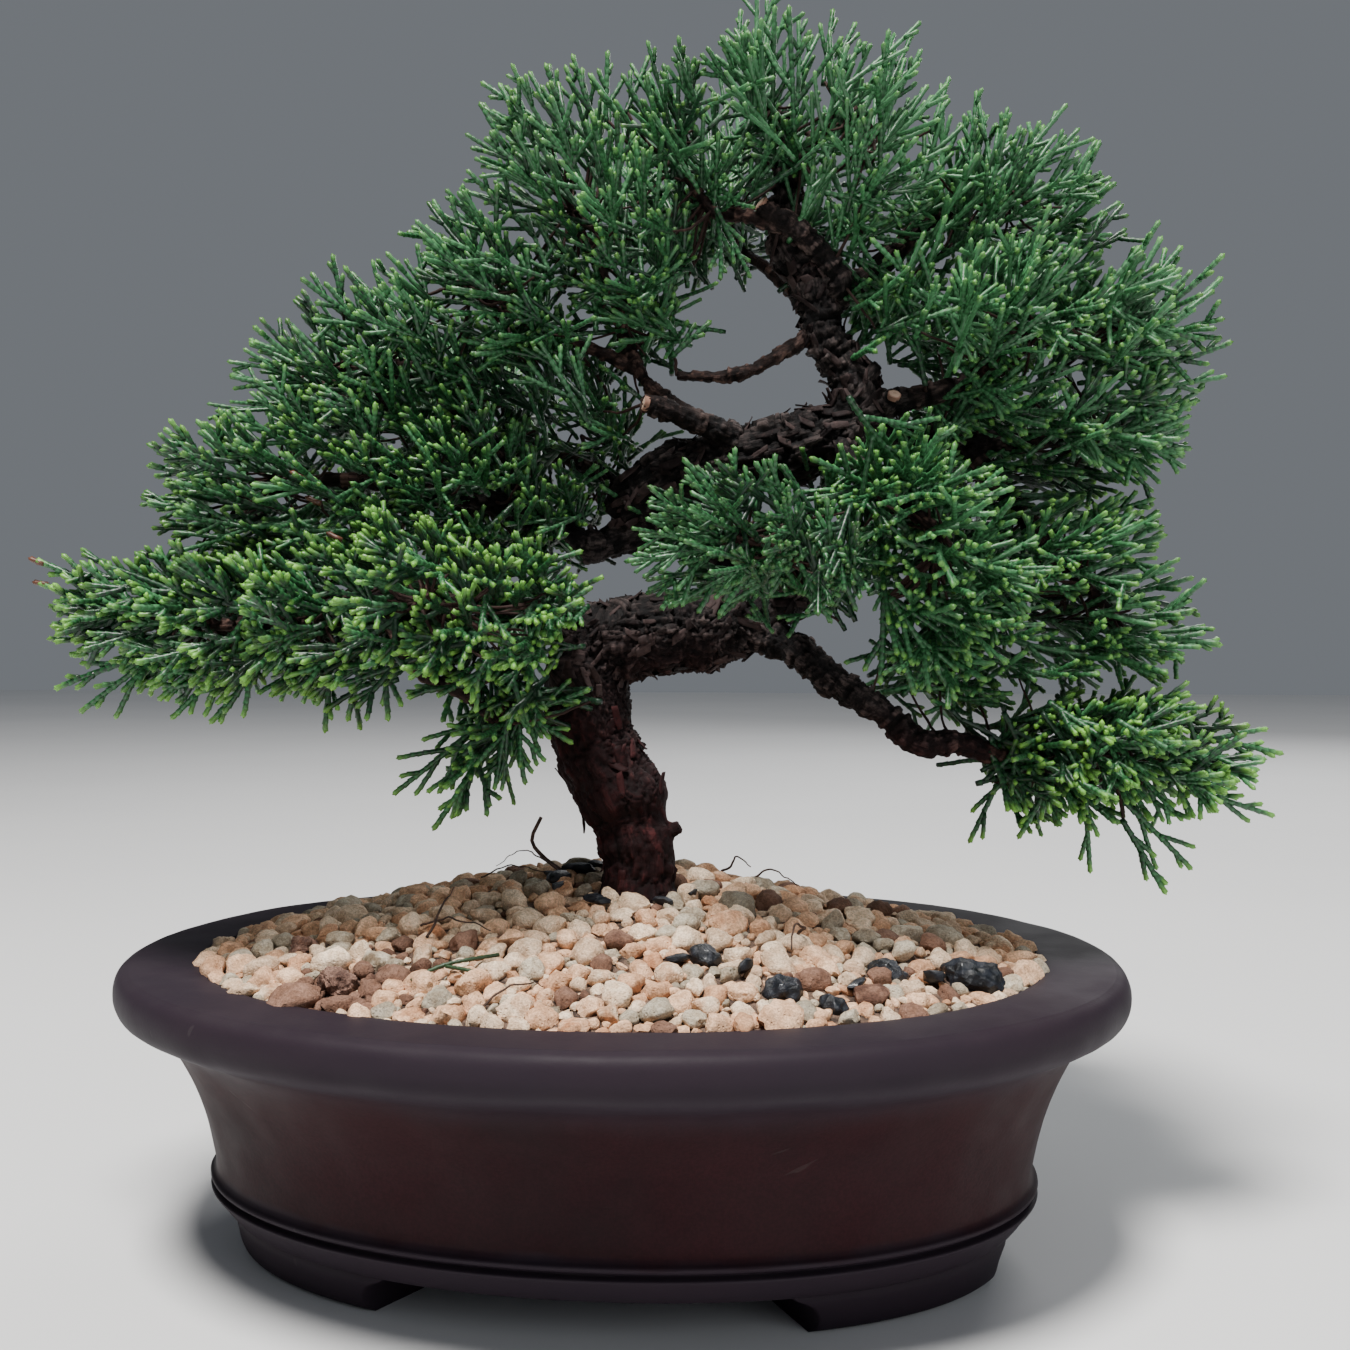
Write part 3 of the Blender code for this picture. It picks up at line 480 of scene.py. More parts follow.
@dataclass(frozen=True)
class ClayFinish:
    """Unglazed dark clay: violet-brown, matt, faintly burnished, with dust, fine scratches and painted sky reflection
    on rim and belt.
    """

    deep: Colour = (0.0120, 0.0026, 0.0040)
    warm: Colour = (0.0210, 0.0042, 0.0060)
    # rim: a greyer violet that stands for painted sky reflection on the rim and the belt.
    rim: Colour = (0.0220, 0.0165, 0.0235)
    dust: Colour = (0.12, 0.105, 0.10)

    def make(self, rim_height: float) -> bpy.types.Material:
        """Makes the material.

        Args:
            rim_height: Height of the rim, where a greyer painted sky reflection is laid on the clay.

        Returns:
            The material.
        """
        made, sk, shader = start_material("unglazed_clay", {"Specular IOR Level": 0.10})
        place = sk.place()
        soft = use_group(sk, mottle_group(), {"Place": place, "Patch Scale": 26.0, "Speck Scale": 1500.0, "Specks": 0.35,
                                              "Dark": self.deep, "Light": self.warm})
        height = sk.add("ShaderNodeSeparateXYZ", {0: place}).outputs["Z"]
        wavy = sk.sum(height, sk.sum(sk.noise(place, 40.0), 0.006, "MULTIPLY"))
        # Painted sky reflection: the rim and the belt are mixed toward the greyer rim colour.
        rim_sheen_mask = sk.ramp(wavy, rim_height - 0.016, rim_height - 0.006)
        belt_sheen_mask = sk.ramp(wavy, 0.0215, 0.0190)
        grey = sk.sum(sk.sum(rim_sheen_mask, belt_sheen_mask, "MAXIMUM"), 0.85, "MULTIPLY", True)
        colour = sk.mix(grey, soft["Color"], self.rim)
        streak = sk.add("ShaderNodeVectorMath", {0: place, 1: (90.0, 90.0, 900.0)}, operation="MULTIPLY").outputs[0]
        marks = sk.ramp(sk.noise(streak, 1.0, 6.0, 0.7), 0.66, 0.74)
        settled = use_group(sk, dust_group(), {"Place": place, "Amount": 0.04, "Scale": 70.0})["Mask"]
        patches = sk.sum(sk.ramp(sk.noise(place, 34.0, 6.0, 0.7), 0.62, 0.78), 0.03, "MULTIPLY")
        dusty = sk.sum(sk.sum(settled, patches), sk.sum(marks, 0.03, "MULTIPLY"), clamp=True)
        scratch_at = sk.add("ShaderNodeMapping", {"Vector": place, "Rotation": (0.4, 0.7, 0.3), "Scale": (14.0, 320.0, 60.0)})
        scratch = sk.ramp(sk.noise(scratch_at.outputs[0], 2.0, 2.0), 0.73, 0.76)
        scored = sk.sum(dusty, sk.sum(scratch, 0.10, "MULTIPLY"), clamp=True)
        rough = sk.sum(sk.ramp(sk.noise(place, 55.0, 5.0), 0.3, 0.7, 0.50, 0.64), sk.sum(dusty, 0.4, "MULTIPLY"))
        feed(sk, shader, sk.mix(scored, colour, self.dust), rough,
             sk.sum(soft["Height"], sk.sum(scratch, -0.6, "MULTIPLY")), 0.22, 0.00025)
        return made


@dataclass(frozen=True)
class BarkFinish:
    """Bark: red-brown and smooth low down, grey-black and flaky above, orange-brown on young wood, with painted
    highlight on raised relief and painted shade in furrows and at the trunk's base.
    """

    name: str = "bark"
    # The light colours show on raised relief: partly the bark's own paler fibres and ridges, partly painted highlight.
    red_dark: Colour = (0.0100, 0.0024, 0.0028)
    red_light: Colour = (0.0540, 0.0120, 0.0125)
    grey_dark: Colour = (0.0030, 0.0023, 0.0026)
    grey_light: Colour = (0.0880, 0.0660, 0.0620)
    young_dark: Colour = (0.0120, 0.0062, 0.0055)
    young_light: Colour = (0.1500, 0.0850, 0.0680)

    def make(self) -> bpy.types.Material:
        """Makes the material; the wood's points carry relief, redness and youth in "growth"."""
        made, sk, shader = start_material(self.name, {"Specular IOR Level": 0.16})
        place = sk.place()
        seen = sk.add("ShaderNodeAttribute", attribute_name="growth")
        parts = sk.add("ShaderNodeSeparateColor", {0: seen.outputs["Color"]}).outputs
        grain = sk.add("ShaderNodeAttribute", attribute_name="grain").outputs["Vector"]
        fibre = sk.noise(grain, 1.6, 6.0, 0.65)
        flecks = sk.noise(place, 700.0, 4.0, 0.7)
        # Lighter on raised relief: the fibres' own paler streaks, with painted highlight on the ridges.
        light = sk.sum(sk.ramp(fibre, 0.34, 0.66), sk.ramp(parts[0], 0.46, 0.92), "MULTIPLY")
        lit = sk.sum(light, sk.ramp(flecks, 0.50, 0.78, 0.0, 0.45), clamp=True)
        red = sk.mix(lit, self.red_dark, self.red_light)
        grey = sk.mix(lit, self.grey_dark, self.grey_light)
        young = sk.mix(lit, self.young_dark, self.young_light)
        colour = sk.mix(parts[2], sk.mix(parts[1], grey, red), young)
        height = sk.add("ShaderNodeSeparateXYZ", {0: place}).outputs["Z"]
        # Painted shade: darker towards the trunk's base and in the furrows of low relief.
        base_shade = sk.ramp(sk.sum(height, sk.sum(sk.noise(place, 120.0), 0.008, "MULTIPLY")), 0.066, 0.082, 0.30, 1.0)
        crevice_shade = sk.sum(sk.ramp(parts[0], 0.10, 0.48, 0.22, 1.0), base_shade, "MULTIPLY")
        shade = sk.add("ShaderNodeCombineColor", {0: crevice_shade, 1: crevice_shade, 2: crevice_shade}).outputs[0]
        feed(sk, shader, sk.mix(1.0, colour, shade, "MULTIPLY"), sk.ramp(flecks, 0.3, 0.7, 0.60, 0.88),
             sk.sum(fibre, sk.sum(flecks, 0.5, "MULTIPLY")), 0.8, 0.0007)
        return made


@dataclass(frozen=True)
class JuniperFinish:
    """Scale leaves: deep blue-green, paler on fresh growth, yellow-green at the tips, brown where dead; painted
    highlight on scale tips, painted shade between scales and deep in the canopy.
    """

    old: Colour = (0.0028, 0.0205, 0.0090)
    grown: Colour = (0.0150, 0.1250, 0.0250)
    tip: Colour = (0.190, 0.450, 0.055)
    dead: Colour = (0.100, 0.036, 0.018)
    # Pale waxy bloom: partly the leaves' real bloom, partly painted sheen on the lighter scale tips.
    bloom_and_sheen: Colour = (0.150, 0.310, 0.190)

    def make(self) -> bpy.types.Material:
        """Makes the material; a shoot's points carry tip, tone with painted highlight and shade, age with painted
        canopy shade, and death in "growth".
        """
        made, sk, shader = start_material("juniper_leaf", {"Specular IOR Level": 0.5})
        place = sk.place()
        seen = sk.add("ShaderNodeAttribute", attribute_name="growth")
        parts = sk.add("ShaderNodeSeparateColor", {0: seen.outputs["Color"]}).outputs
        leafy = use_group(sk, mottle_group(), {"Place": place, "Patch Scale": 160.0, "Speck Scale": 2200.0, "Specks": 0.5,
                                               "Dark": (0.75, 0.75, 0.75), "Light": (1.2, 1.2, 1.2)})
        tone = sk.ramp(parts[1], 0.0, 1.0)
        green = sk.mix(tone, self.old, self.grown)
        # Older growth and painted shade deep in the canopy both darken toward the old colour.
        aged_and_shaded = sk.mix(sk.sum(parts[2], 0.75, "MULTIPLY"), green, self.old)
        # Waxy bloom and painted sheen on the lighter scale tips.
        with_bloom_and_sheen = sk.mix(sk.ramp(parts[1], 0.50, 1.0, 0.0, 0.24), aged_and_shaded, self.bloom_and_sheen)
        fresh = sk.mix(parts[0], with_bloom_and_sheen, self.tip)
        brown = sk.mix(seen.outputs["Alpha"], fresh, self.dead)
        feed(sk, shader, sk.mix(1.0, brown, leafy["Color"], "MULTIPLY"), sk.ramp(leafy["Height"], 0.6, 1.1, 0.36, 0.6),
             leafy["Height"], 0.35, 0.00025)
        return made


@dataclass(frozen=True)
class StoneFinish:
    """Porous grains whose tone and stain are carried at their points."""

    name: str
    light: Colour
    dark: Colour
    stain: Colour
    pores: float = 1100.0

    def make(self) -> bpy.types.Material:
        """Makes the material; a grain's points carry its tone and stain in "growth"."""
        made, sk, shader = start_material(self.name, {"Specular IOR Level": 0.25})
        place = sk.place()
        seen = sk.add("ShaderNodeAttribute", attribute_name="growth")
        parts = sk.add("ShaderNodeSeparateColor", {0: seen.outputs["Color"]}).outputs
        rough = use_group(sk, mottle_group(), {"Place": place, "Patch Scale": 460.0, "Speck Scale": 2400.0, "Specks": 0.55,
                                               "Dark": (0.74, 0.67, 0.61), "Light": (1.1, 1.1, 1.1)})
        base = sk.mix(parts[0], self.dark, self.light)
        worn = sk.mix(sk.sum(parts[1], sk.ramp(sk.noise(place, 260.0, 4.0), 0.42, 0.62), "MULTIPLY"), base, self.stain)
        pit = sk.add("ShaderNodeTexVoronoi", {"Vector": place, "Scale": self.pores}).outputs["Distance"]
        pitted = sk.ramp(pit, 0.08, 0.3)
        height = sk.sum(rough["Height"], sk.sum(pitted, 0.5, "MULTIPLY"))
        feed(sk, shader, sk.mix(1.0, worn, rough["Color"], "MULTIPLY"), sk.ramp(rough["Height"], 0.5, 1.1, 0.8, 0.95),
             height, 0.70, 0.0005)
        return made


@dataclass(frozen=True)
class PlainFinish:
    """A two-colour mottled finish for small pieces."""

    name: str
    dark: Colour
    light: Colour
    rough: tuple[float, float]
    patch: float = 300.0
    specks: float = 0.4
    metallic: float = 0.0
    coat: float = 0.0
    bump: float = 0.5

    def make(self) -> bpy.types.Material:
        """Makes the material."""
        made, sk, shader = start_material(self.name, {"Metallic": self.metallic, "Coat Weight": self.coat,
                                                      "Specular IOR Level": 0.4})
        soft = use_group(sk, mottle_group(), {"Place": sk.place(), "Patch Scale": self.patch, "Speck Scale": self.patch * 8,
                                              "Specks": self.specks, "Dark": self.dark, "Light": self.light})
        feed(sk, shader, soft["Color"], sk.ramp(soft["Height"], 0.5, 1.1, *self.rough), soft["Height"], self.bump, 0.0004)
        return made


@dataclass(frozen=True)
class CutWoodFinish:
    """Sawn ends: pale tan heartwood with faint rings and checks."""

    pale: Colour = (0.56, 0.41, 0.31)
    ring: Colour = (0.26, 0.14, 0.10)

    def make(self) -> bpy.types.Material:
        """Makes the material; "growth" carries the share of the radius from the middle."""
        made, sk, shader = start_material("cut_wood", {"Roughness": 0.75, "Specular IOR Level": 0.25})
        place = sk.place()
        seen = sk.add("ShaderNodeAttribute", attribute_name="growth")
        part = sk.add("ShaderNodeSeparateColor", {0: seen.outputs["Color"]}).outputs[0]
        wobbly = sk.sum(part, sk.sum(sk.noise(place, 500.0), 0.25, "MULTIPLY"))
        rings = sk.sum(sk.sum(sk.sum(wobbly, 34.0, "MULTIPLY"), 0.0, "SINE"), 0.5, "MULTIPLY")
        mask = sk.sum(sk.ramp(rings, -0.5, 0.5, 0.0, 0.5), sk.ramp(part, 0.72, 0.98, 0.0, 0.9), clamp=True)
        feed(sk, shader, sk.mix(mask, self.pale, self.ring), None, sk.noise(place, 1600.0), 0.4, 0.0002)
        return made


# ---------------------------------------------------------------- pot


@dataclass
class OvalPot:
    """A low waisted oval pot with a flat rim, a bead, a belt and four cloud feet.

    The outline's rows give a height and how far the outside stands in from the rim's edge at an end and at
    a side, in millimetres.
    """

    planting: Planting
    length: float = 0.206
    width: float = 0.160
    wall: float = 0.0062
    power: float = 2.1
    floor_under: float = 0.0080
    floor_top: float = 0.0136
    drain_radius: float = 0.007
    drain_spacing: float = 0.076
    sides: int = 240
    foot_start: float = 18.0
    foot_end: float = 60.0
    foot_depth: float = 0.0145
    outside: tuple[Row, ...] = (
        (8.0, 28.0, 36.0), (7.9, 23.2, 29.9), (8.4, 21.7, 28.0), (9.6, 20.6, 26.6), (11.4, 19.3, 25.1),
        (12.9, 18.2, 23.9), (13.8, 17.5, 23.2), (14.3, 17.6, 23.3), (14.7, 18.8, 24.4), (15.1, 18.7, 24.3),
        (15.6, 17.6, 23.3), (16.4, 17.4, 23.1), (17.1, 18.2, 23.9), (18.4, 18.5, 24.3), (22.5, 17.9, 23.8),
        (28.0, 16.7, 22.5), (33.0, 15.2, 20.6), (38.0, 13.3, 17.8), (43.0, 11.0, 14.2), (46.0, 9.3, 11.6), (47.6, 7.6, 9.2),
        (49.2, 5.2, 5.6), (50.8, 2.2, 2.4), (52.4, 0.7, 0.8), (54.8, 0.0, 0.0), (57.2, 0.2, 0.2),
        (58.9, 1.0, 1.0), (59.8, 2.4, 2.4), (60.0, 4.2, 4.2), (59.7, 15.0, 14.6), (59.2, 16.2, 15.8),
        (58.0, 16.9, 16.5))
    inside: tuple[Row, ...] = (
        (45.0, 16.9, 18.8), (38.0, 19.2, 24.0), (33.0, 21.1, 26.8), (28.0, 22.9, 28.9), (22.5, 25.1, 30.8),
        (17.0, 27.0, 32.6), (14.6, 29.0, 34.4))
    foot_levels: tuple[Row, ...] = (
        (0.0, 24.9, 32.6, 0.5), (0.9, 23.6, 31.1, -0.3), (2.4, 22.9, 30.4, -0.6), (4.4, 22.5, 29.8, -0.2),
        (6.0, 22.2, 29.3, 1.0), (7.2, 22.2, 29.2, 3.0), (9.4, 22.8, 29.7, 5.5))

    def oval(self, angle: np.ndarray, half_length: float, half_width: float, height: float) -> np.ndarray:
        """Points of a superellipse at a height."""
        c, s = np.cos(angle), np.sin(angle)
        x = np.sign(c) * np.abs(c) ** (2 / self.power) * half_length
        y = np.sign(s) * np.abs(s) ** (2 / self.power) * half_width
        return np.stack([x, y, np.full(len(angle), height)], -1)

    def shell(self) -> bpy.types.Object:
        """Lofts the wall, rim and floor, with the slight unevenness of thrown clay."""
        rows = curve_through([*self.outside, *self.inside], 4)
        angle = 2 * math.pi * np.arange(self.sides) / self.sides
        rings = [self.oval(angle, self.length / 2 - end * MM, self.width / 2 - side * MM, z * MM) for z, end, side in rows]
        last = self.inside[-1]
        for share in (1.0, 0.5, 0.02):
            reach = self.length / 2 - last[1] * MM - 0.0025, self.width / 2 - last[2] * MM - 0.0025
            rings.append(self.oval(angle, reach[0] * share, reach[1] * share, self.floor_top))
        rings.insert(0, self.oval(angle, 0.04, 0.024, self.floor_under))
        points = np.concatenate(rings)
        faces = [tuple(q) for q in MeshStore.grid(len(rings), self.sides).tolist()]
        faces.append(tuple(range(self.sides - 1, -1, -1)))
        top = (len(rings) - 1) * self.sides
        faces.append(tuple(range(top, top + self.sides)))
        made = simple_object("pot_clay", points, faces)
        for v in made.data.vertices:
            if v.co.z > 0.016:
                v.co += v.normal * (0.00022 * noise.noise(v.co * 45.0) + 0.00007 * noise.noise(v.co * 190.0))
        return made

    def drain(self, made: bpy.types.Object) -> None:
        """Pierces the floor with two drain holes."""
        for sign in (-1, 1):
            angle = 2 * math.pi * np.arange(48) / 48
            rings = [np.stack([sign * self.drain_spacing / 2 + self.drain_radius * np.cos(angle),
                               self.drain_radius * np.sin(angle), np.full(48, z)], -1) for z in (0.001, 0.03)]
            faces = [tuple(q) for q in MeshStore.grid(2, 48).tolist()]
            faces += [tuple(range(47, -1, -1)), tuple(range(48, 96))]
            plug = simple_object("drain_plug", np.concatenate(rings), faces)
            cut = made.modifiers.new("Drain", "BOOLEAN")
            cut.operation = "DIFFERENCE"
            cut.solver = "EXACT"
            cut.object = plug
            freeze(made)
            bpy.data.objects.remove(plug)

    def foot(self, mirror_x: int, mirror_y: int) -> bpy.types.Object:
        """Lofts a foot that sweeps out to the belt at its ends, with softened edges."""
        rings = []
        for z, end, side, sweep in curve_through(list(self.foot_levels), 3):
            angle = np.linspace(math.radians(self.foot_start - sweep), math.radians(self.foot_end + sweep), 26)
            half_length, half_width = self.length / 2 - end * MM, self.width / 2 - side * MM
            outer = self.oval(angle, half_length, half_width, z * MM)
            inner = self.oval(angle, half_length - self.foot_depth, half_width - self.foot_depth, z * MM)
            rings.append(np.concatenate([outer, inner[::-1]]) * (mirror_x, mirror_y, 1))
        count = len(rings[0])
        faces = [tuple(q) for q in MeshStore.grid(len(rings), count).tolist()]
        faces += [tuple(range(count - 1, -1, -1)), tuple(range((len(rings) - 1) * count, len(rings) * count))]
        made = simple_object("foot", np.concatenate(rings), faces)
        soften = made.modifiers.new("Soften", "BEVEL")
        soften.width = 0.0009
        soften.segments = 3
        soften.limit_method = "ANGLE"
        soften.angle_limit = math.radians(50)
        freeze(made)
        return made

    def build(self, finish: bpy.types.Material) -> bpy.types.Object:
        """Makes the whole pot as one piece.

        Args:
            finish: The clay.

        Returns:
            The pot, in place of its CAD node.
        """
        pot = self.shell()
        self.drain(pot)
        shape = bmesh.new()
        shape.from_mesh(pot.data)
        for mirror_x in (1, -1):
            for mirror_y in (1, -1):
                foot = self.foot(mirror_x, mirror_y)
                shape.from_mesh(foot.data)
                bpy.data.objects.remove(foot)
        bmesh.ops.recalc_face_normals(shape, faces=shape.faces)
        bmesh.ops.translate(shape, verts=shape.verts, vec=self.planting.middle)
        shape.to_mesh(pot.data)
        shape.free()
        pot.data.shade_smooth()
        pot.data.set_sharp_from_angle(angle=math.radians(38))
        dress(pot, finish, "unglazed_stoneware", "pot")
        return pot


# ---------------------------------------------------------------- fill


class GrainKind(Enum):
    """The kinds of grain in the dressing."""

    PUMICE = "pumice"
    PALE = "pale"
    GRIT = "grit"
    CLAY = "clay"


@dataclass
class TopDressing:
    """Loose grains heaped over the soil."""

    planting: Planting
    rng: random.Random
    # How many grains of each layer, their least and greatest size, and how close they may lie.
    layers: tuple[tuple[int, float, float, float], ...] = (
        (560, 3.7, 6.2, 0.465), (1700, 2.3, 3.6, 0.445), (1700, 1.4, 2.2, 0.42))
    shares: dict[GrainKind, float] = field(default_factory=lambda: {
        GrainKind.PUMICE: 0.40, GrainKind.PALE: 0.33, GrainKind.GRIT: 0.19, GrainKind.CLAY: 0.08})

    def surfaces(self) -> tuple[BVHTree, BVHTree]:
        """Search trees of the heap, and of what stands in it."""
        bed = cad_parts["dressing"].data
        heap = BVHTree.FromPolygons([v.co for v in bed.vertices], [p.vertices for p in bed.polygons])
        points, faces = [], []
        for name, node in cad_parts.items():
            if name == "wood" or name.startswith(("charcoal", "lava")):
                base = len(points)
                points += [v.co.copy() for v in node.data.vertices]
                faces += [[base + i for i in p.vertices] for p in node.data.polygons]
        return heap, BVHTree.FromPolygons(points, faces)

    def rock(self, detail: int) -> tuple[np.ndarray, np.ndarray]:
        """Directions and faces of a round shape to carve a grain from."""
        shape = bmesh.new()
        bmesh.ops.create_icosphere(shape, subdivisions=detail, radius=1.0)
        points = np.array([v.co for v in shape.verts])
        faces = np.array([[v.index for v in f.verts] for f in shape.faces])
        shape.free()
        return unit(points), faces

    def carve(self, out: np.ndarray) -> np.ndarray:
        """Carves a grain of about one unit across with blunt flats and low bumps."""
        reach = np.full(len(out), 0.62)
        for _ in range(self.rng.randint(6, 11)):
            flat = np.array([self.rng.gauss(0, 1) for _ in range(3)])
            flat = flat / np.linalg.norm(flat)
            toward = np.maximum(out @ flat, 1e-3)
            reach = -np.log(np.exp(-24 * reach) + np.exp(-24 * self.rng.uniform(0.36, 0.54) / toward)) / 24
        seed = Vector([self.rng.uniform(0, 90) for _ in range(3)])
        rough = [noise.noise(Vector(d) * 2.4 + seed) * 0.085 + noise.noise(Vector(d) * 7.0 + seed) * 0.024 for d in out]
        return out * (reach + np.array(rough))[:, None]

    def spots(self, heap: BVHTree, standing: BVHTree) -> list[tuple[Vector, Vector, float]]:
        """Finds where grains lie: place, slope and size, the large ones first."""
        low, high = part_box("dressing")
        taken = []
        cell = 0.0035
        buckets: dict[tuple[int, int], list[int]] = {}
        for count, least, most, share in self.layers:
            tries = 0
            made = 0
            while made < count and tries < count * 40:
                tries += 1
                x, y = self.rng.uniform(low.x, high.x), self.rng.uniform(low.y, high.y)
                size = self.rng.uniform(least, most) * MM * (1.2 if self.rng.random() < 0.05 else 1.0)
                key = int(x // cell), int(y // cell)
                near = [k for a in (-2, -1, 0, 1, 2) for b in (-2, -1, 0, 1, 2) for k in buckets.get((key[0] + a, key[1] + b), [])]
                if any((taken[k][0].xy - Vector((x, y))).length < share * (taken[k][2] + size) for k in near):
                    continue
                hit, slope, _, _ = heap.ray_cast(Vector((x, y, 0.12)), -UP)
                if hit is None or slope.z < 0.3 or hit.z < 0.05:
                    continue
                gap = standing.find_nearest(hit + slope * size * 0.3)[3]
                if gap < size * (0.36 if (Vector((x, y)) - self.planting.middle.xy).length < 0.02 else 0.62):
                    continue
                buckets.setdefault(key, []).append(len(taken))
                taken.append((hit, slope, size))
                made += 1
        return taken

    def build(self, finishes: dict[GrainKind, bpy.types.Material]) -> list[bpy.types.Object]:
        """Makes one piece of each kind of grain.

        Args:
            finishes: The finish of each kind.

        Returns:
            The pieces.
        """
        stores = {kind: MeshStore() for kind in GrainKind}
        fine, coarse = self.rock(3), self.rock(2)
        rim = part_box("pot")[1].z
        for place, slope, size in self.spots(*self.surfaces()):
            kind = self.rng.choices(list(self.shares), list(self.shares.values()))[0]
            if (place - self.planting.place((-50, -41, 60))).length < 0.011 and self.rng.random() < 0.8:
                kind = GrainKind.CLAY
            out, faces = fine if size > 0.0037 else coarse
            grain = self.carve(out) * np.array([self.rng.uniform(0.95, 1.2), self.rng.uniform(0.8, 1.0), self.rng.uniform(0.6, 0.85)])
            turn = Matrix.Rotation(self.rng.uniform(0, math.tau), 3, "Z") @ Matrix.Rotation(self.rng.gauss(0, 0.5), 3, "X")
            tilt = UP.rotation_difference(slope).to_matrix() @ turn
            sunk = 0.12 if size > 0.0037 else 0.02
            middle = place + slope * size * sunk + Vector((0, 0, self.rng.uniform(-0.0003, 0.0006)))
            middle.z = min(middle.z, rim + 0.022)
            points = grain @ np.array(tilt).T * size + np.array(middle)
            tone, stain = min(max(self.rng.gauss(0.6, 0.30), 0), 1), max(self.rng.gauss(0.1, 0.38), 0)
            # Grains within 16 mm of the trunk's base are darker and more stained.
            near_trunk_dark = max(0.0, 1 - (place.xy - self.planting.place((0, 2, 70)).xy).length / 0.016)
            tone, stain = max(tone - 0.9 * near_trunk_dark, 0), stain + 0.6 * near_trunk_dark
            stores[kind].add(points, np.zeros((0, 4), int), faces, np.tile((tone, min(stain, 1), 0, 1), (len(points), 1)))
        made = []
        for kind, store in stores.items():
            piece = store.make("grains_" + kind.value)
            piece.data.set_sharp_from_angle(angle=math.radians(48))
            dress(piece, finishes[kind], "pumice_grains")
            made.append(piece)
        return made


@dataclass
class Litter:
    """Rootlets, dark chips and a shed green shoot that lie on the grains; the chips round the trunk's base also stand
    for painted shade there.
    """

    planting: Planting
    rng: random.Random
    rootlets: tuple[tuple[Row, ...], ...] = (
        ((-22, -57, 0.6), (-19, -55, 2.4), (-15, -53, 2.8), (-12, -49, 0.8)),
        ((-36, -27, 0.5), (-34, -25, 4.0), (-33, -24, 6.5), (-31, -23, 8.0)),
        ((-38, -22, 0.8), (-33, -23, 2.6), (-28, -26, 2.2), (-24, -27, 0.6)),
        ((22, 18, 0.5), (24, 16, 3.5), (25, 13, 5.0), (28, 10, 3.6)),
        ((27, 16, 0.5), (30, 15, 2.5), (33, 14, 3.6), (38, 15, 1.6)),
        ((-30, 8, 1.0), (-25, 6, 3.0), (-20, 5, 2.0), (-14, 4, 0.6)),
        ((-13, 2, 1.0), (-17, 3, 4.5), (-22, 6, 5.6), (-27, 8, 3.0)),
        ((34, -28, 1.0), (36, -31, 4.0), (34, -34, 5.0), (33, -38, 2.0)),
    )
    # Dark chips: the ones round the trunk's base partly stand for painted shade in the hollow there.
    chips: tuple[Row, ...] = (
        (-9, 4, 3.4), (-13, 0, 3.0), (-6, 9, 2.6), (-12, -7, 2.4), (-15, 4, 2.2), (-5, -13, 2.2), (9, -14, 2.0),
        (15, -9, 2.2), (-3, -15, 1.8), (12, -40, 2.2), (24, -43, 2.4), (44, -46, 2.2), (59, -38, 2.6), (71, -27, 2.4),
    )

    def lie(self, heap: BVHTree, row: Row) -> Vector:
        """Drops a layout place onto the heap and lifts it by the row's last number."""
        spot = self.planting.place((row[0], row[1], 120))
        return heap.ray_cast(spot, -UP)[0] + UP * (row[2] + 1.6) * MM

    def build_rootlets(self, heap: BVHTree, finish: bpy.types.Material) -> None:
        """Makes the rootlets as one piece."""
        store = MeshStore()
        for row in self.rootlets:
            thick = self.rng.uniform(0.18, 0.34) * MM
            knots = [(*self.lie(heap, spot), thick) for spot in row]
            path = curve_through(knots, 7)
            wobble = np.array([[noise.noise(Vector(p[:3]) * 420.0 + Vector((0, k * 9.0, 0))) for k in range(3)] for p in path])
            line = path[:, :3] + wobble * 0.0007
            rings = tube_rings(line, path[:, 3] * np.linspace(1.1, 0.45, len(path)), 6)
            store.tube(rings, line[0], line[-1], np.tile((0.5, 0.5, 0.5, 1.0), (len(path), 1)))
        dress(store.make("rootlets"), finish, "dry_root")

    def build_chips(self, heap: BVHTree, dressing: "TopDressing", finish: bpy.types.Material) -> None:
        """Makes the dark chips as one piece, split and blunt like bits of burnt bark; those round the trunk's base are
        partly dark bits and partly painted shade in the hollow there.
        """
        store = MeshStore()
        out, faces = dressing.rock(2)
        for x, y, size in self.chips:
            chip = dressing.carve(out) * np.array([1.3, self.rng.uniform(0.6, 0.9), self.rng.uniform(0.35, 0.6)])
            turn = Matrix.Rotation(self.rng.uniform(0, math.tau), 3, "Z") @ Matrix.Rotation(self.rng.gauss(0, 0.5), 3, "X")
            points = chip @ np.array(turn).T * size * 1.5 * MM + np.array(self.lie(heap, (x, y, 0.5)))
            store.add(points, np.zeros((0, 4), int), faces, np.tile((0.5, 0, 0, 1), (len(points), 1)))
        made = store.make("dark_chips_and_shade")
        made.data.set_sharp_from_angle(angle=math.radians(30))
        dress(made, finish, "charcoal")

    def build_shed_shoot(self, heap: BVHTree, finish: bpy.types.Material) -> None:
        """Makes the shed green shoot, a thin forked one."""
        store = MeshStore()
        for row in (((-36, -45, 0.8), (-31, -43, 1.9), (-26, -41, 2.0), (-21, -38, 1.0)), ((-30, -43, 1.8), (-26, -45, 1.6), (-23, -46, 1.0))):
            path = curve_through([(*self.lie(heap, spot), 0.00038) for spot in row], 8)
            rings = tube_rings(path[:, :3], path[:, 3] * (1 + 0.15 * np.sin(np.arange(len(path)) * 3.0)), 6)
            store.tube(rings, path[0, :3], path[-1, :3], np.tile((0.0, 0.35, 0.2, 0.12), (len(path), 1)))
        dress(store.make("shed_shoot"), finish, "foliage")


